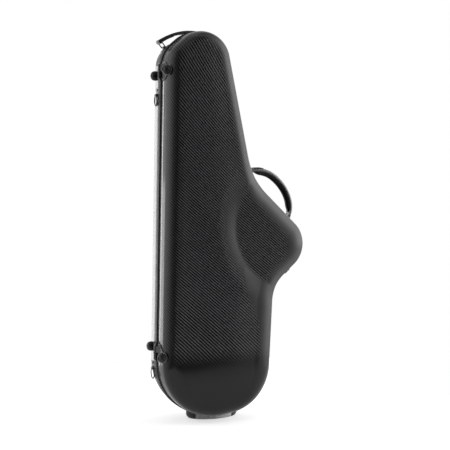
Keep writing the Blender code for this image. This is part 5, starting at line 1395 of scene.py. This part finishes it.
class CASE_OT_latches(Operator):
    """Bend each latch's wire bail and press its lever with rounded edges and a lifted tip"""
    bl_idname = "case.latches"
    bl_label = "Draw latches"

    def execute(self, context):
        for label in ("upper", "bell", "lower"):
            pivot, axis = joint_place(f"{label}_latch_bail_hinge")
            lever_pivot = joint_place(f"{label}_latch_lever_hinge")[0]
            out = turned_to(np.cross(BACK, axis), 0)
            place = (lever_pivot, np.array((out, BACK, np.cross(out, BACK))))
            self.bail(label, moved(place, *((pivot - lever_pivot) @ place[1].T)))
            self.lever(label, place)
        return {"FINISHED"}

    def bail(self, label, place):
        """Wire carried round an open rectangle whose corners are rounded."""
        front, half, stub = -0.0325, 0.0076, 0.0049
        corners = np.array([(0.0, -stub), (0.0, -half), (front, -half), (front, half), (0.0, half),
                            (0.0, stub)])
        flat = np.concatenate((corners[:1], filleted(corners, 0.0022, 5)[5:-5], corners[-1:]))
        path = placed(np.column_stack((np.zeros(len(flat)), flat)), place)
        over = place[1][0]
        part = carried_part(path, flat_sides(path, over), over, disc(0.0011, 12))
        fitted(make_piece(f"{label}_latch_wire_bail", [part], finish_named("Blackened wire")),
               f"{label}_latch_bail", "steel", f"{label}_latch_bail")

    def lever(self, label, place):
        """Cover plate over the packed lever's flanges.

        Its top swells by a sine along it and by one less a fourth power across it, and turns up at its tip
        by a parabola.  It narrows towards the tip by a parabola too.
        """
        start, length, thickness, crown = 0.0029, 0.0275, 0.0015, 0.0007
        share = np.linspace(0, 1, 25)[:, None]
        over = np.linspace(-1, 1, 13)
        top = 0.0024 + 0.0006 * np.sin(share * math.pi) + 0.0016 * np.clip((share - 0.78) / 0.22, 0, 1) ** 2
        half = 0.0062 - 0.0018 * np.clip((share - 0.55) / 0.45, 0, 1) ** 2
        out = top + crown * (1 - over ** 4)
        back = start + length * share
        part = plate_part(place, (out, back, half * over), (out - thickness, back, half * over))
        piece = make_piece(f"{label}_latch_cover", [part], finish_named("Hardware metal"), bevel=0.0003)
        fitted(piece, f"{label}_latch_lever", "dark_metal")


# Solids that keep their own shape

class CASE_OT_solids(Operator):
    """Give the packed solids that stay in view their finishes"""
    bl_idname = "case.solids"
    bl_label = "Brackets, pins and foot"

    def execute(self, context):
        rules = (("foot_pad", "Soft rubber"), ("foot_plate", "Foot plastic"), ("_keeper", "Bright steel"),
                 ("_bracket", "Hardware metal"), ("_latch_", "Hardware metal"), ("_pin", "Bright steel"))
        for name, node in NODES.items():
            finish = next((finish for part, finish in rules if part in name), None)
            if finish:
                for place in node.material_slots:
                    place.material = finish_named(finish)
        return {"FINISHED"}


# Stage

# Degrees from the front of the lid, positive to the right, and brightness there
SKY_PEAK = 5.0
SKY = ((-180, 1.0), (180, 1.0), (-160, 1.0), (-146, 1.6), (-130, 2.0), (-110, 2.1), (-90, 1.4), (-70, 0.4),
       (-45, 0.06), (24, 0.06), (34, 0.5), (46, 1.3), (58, 2.6), (70, 4.0), (86, 4.0), (102, 2.6), (120, 1.2),
       (150, 0.8))


def area_lamp(name, place, target, wide, high, radiance):
    """Soft rectangular lamp whose power is its radiance times pi times its area."""
    light = bpy.data.lights.new(name, "AREA")
    light.shape, light.size, light.size_y = "RECTANGLE", wide, high
    light.energy = radiance * math.pi * wide * high
    lamp = bpy.data.objects.new(name, light)
    bpy.context.scene.collection.objects.link(lamp)
    lamp.location = place
    direction = np.array(target) - np.array(place)
    lamp.rotation_euler = (math.atan2(math.hypot(direction[0], direction[1]), -direction[2]), 0.0,
                           math.atan2(direction[1], direction[0]) - math.pi / 2)
    lamp.visible_camera = False


class CASE_OT_stage(Operator):
    """Set the pale floor, the studio light and the camera at the photograph's angle"""
    bl_idname = "case.stage"
    bl_label = "Stage"

    def execute(self, context):
        scene = context.scene
        scene.view_settings.view_transform = "Standard"
        self.floor(scene)
        self.sky(scene)
        area_lamp("Left rear strip", (-0.48, 1.94, 0.36), (-0.14, 0.04, 0.26), 0.5, 1.35, 4.8)
        area_lamp("Left low strip", (-0.98, 1.9, 0.15), (-0.14, 0.04, 0.3), 0.4, 0.8, 2.8)
        area_lamp("Overhead softbox", (-0.5, -0.3, 2.6), (0.0, 0.0, 0.5), 1.4, 1.4, 0.5)
        self.camera(scene)
        return {"FINISHED"}

    def background_rays(self, w, mirrored=1.0):
        """One for camera and transmission rays, and a given value for glossy rays, so that coats and metal
        show the background too."""
        rays = w.add("ShaderNodeLightPath").outputs
        glossy = w.times(rays["Is Glossy Ray"], mirrored)
        return w.larger(glossy, w.larger(rays["Is Camera Ray"], rays["Is Transmission Ray"]))

    def floor(self, scene):
        """A pale square that also glows to the camera and in reflections."""
        material = bpy.data.materials.new("Pale floor")
        material.use_nodes = True
        w = Wiring(material.node_tree)
        surface = material.node_tree.nodes["Principled BSDF"].inputs
        surface["Base Color"].default_value = (0.86, 0.86, 0.86, 1.0)
        surface["Roughness"].default_value = 0.8
        surface["Emission Color"].default_value = (1.0, 1.0, 1.0, 1.0)
        w.feed(surface["Emission Strength"], w.times(self.background_rays(w), 0.55))
        mesh = bpy.data.meshes.new("Floor")
        reach = 0.6
        mesh.from_pydata([(-reach, -reach, 0), (reach, -reach, 0), (reach, reach, 0), (-reach, reach, 0)], [],
                         [(0, 1, 2, 3)])
        mesh.materials.append(material)
        floor = bpy.data.objects.new("Floor", mesh)
        scene.collection.objects.link(floor)

    def sky(self, scene):
        """White to the camera; for light, a ring of brightness by direction that fades overhead and below.

        The direction is the angle whose tangent is X over -Y.
        """
        world = bpy.data.worlds.new("Studio")
        scene.world = world
        world.use_nodes = True
        w = Wiring(world.node_tree)
        towards = w.coordinates(w.add("ShaderNodeTexCoord").outputs["Generated"])
        turn = w.math("ARCTAN2", towards[0], w.times(towards[1], -1.0))
        ramp = w.add("ShaderNodeValToRGB")
        w.feed(ramp.inputs[0], w.times_plus(turn, 0.5 / math.pi, 0.5))
        stops = ramp.color_ramp.elements
        for number, (degrees, brightness) in enumerate(SKY):
            place = 0.5 + degrees / 360
            stop = stops[number] if number < 2 else stops.new(place)
            stop.position = place
            stop.color = (*[brightness / SKY_PEAK] * 3, 1.0)
        fade = w.times(w.spread(towards[2], 0.35, 0.95, 1.0, 0.25),
                       w.spread(towards[2], -0.24, 0.03, 0.45, 1.0))
        around = w.times(w.times(ramp.outputs["Color"], SKY_PEAK), fade)
        behind = w.spread(w.math("ABSOLUTE", turn), math.radians(125), math.radians(165))
        seen = self.background_rays(w, behind)
        backdrop = world.node_tree.nodes["Background"].inputs
        backdrop["Color"].default_value = (1.0, 1.0, 1.0, 1.0)
        w.feed(backdrop["Strength"], w.fed("ShaderNodeMix", seen, None, around, 1.0, data_type="FLOAT")[0])

    def camera(self, scene):
        s = scene.case_stage
        data = bpy.data.cameras.new("Camera")
        camera = bpy.data.objects.new("Camera", data)
        scene.collection.objects.link(camera)
        camera.location = (-math.sin(s.turn) * s.distance, -math.cos(s.turn) * s.distance, s.height)
        camera.rotation_euler = (math.pi / 2 - s.tilt, 0.0, -s.turn - s.aside)
        data.lens = s.lens
        scene.camera = camera


STEPS = (CASE_OT_finishes, CASE_OT_shells, CASE_OT_edges, CASE_OT_linings, CASE_OT_hinges,
         CASE_OT_strap_rings, CASE_OT_top_handle, CASE_OT_side_handle, CASE_OT_latches, CASE_OT_solids,
         CASE_OT_stage)
GROUPS = {"case_outline": OutlineSizes, "case_shell": ShellSizes, "case_hardware": HardwareSizes,
          "case_colours": CaseColours, "case_stage": StageSizes}


class CASE_PT_case(Panel):
    """Sidebar panel with the case's sizes and building steps"""
    bl_idname = "CASE_PT_case"
    bl_label = "Sax Case"
    bl_space_type = "VIEW_3D"
    bl_region_type = "UI"
    bl_category = "Sax Case"

    def draw(self, context):
        column = self.layout.column()
        for name, group in GROUPS.items():
            column.label(text=group.__doc__)
            for key in group.__annotations__:
                column.prop(getattr(context.scene, name), key)
        for step in STEPS:
            column.operator(step.bl_idname)


def register():
    for entry in (*GROUPS.values(), *STEPS, CASE_PT_case):
        bpy.utils.register_class(entry)
    for name, group in GROUPS.items():
        setattr(bpy.types.Scene, name, PointerProperty(type=group))


def unregister():
    for name in GROUPS:
        delattr(bpy.types.Scene, name)
    for entry in reversed((*GROUPS.values(), *STEPS, CASE_PT_case)):
        bpy.utils.unregister_class(entry)


def main():
    register()
    for step in STEPS:
        getattr(bpy.ops.case, step.bl_idname.removeprefix("case."))()


if __name__ == "__main__":
    main()
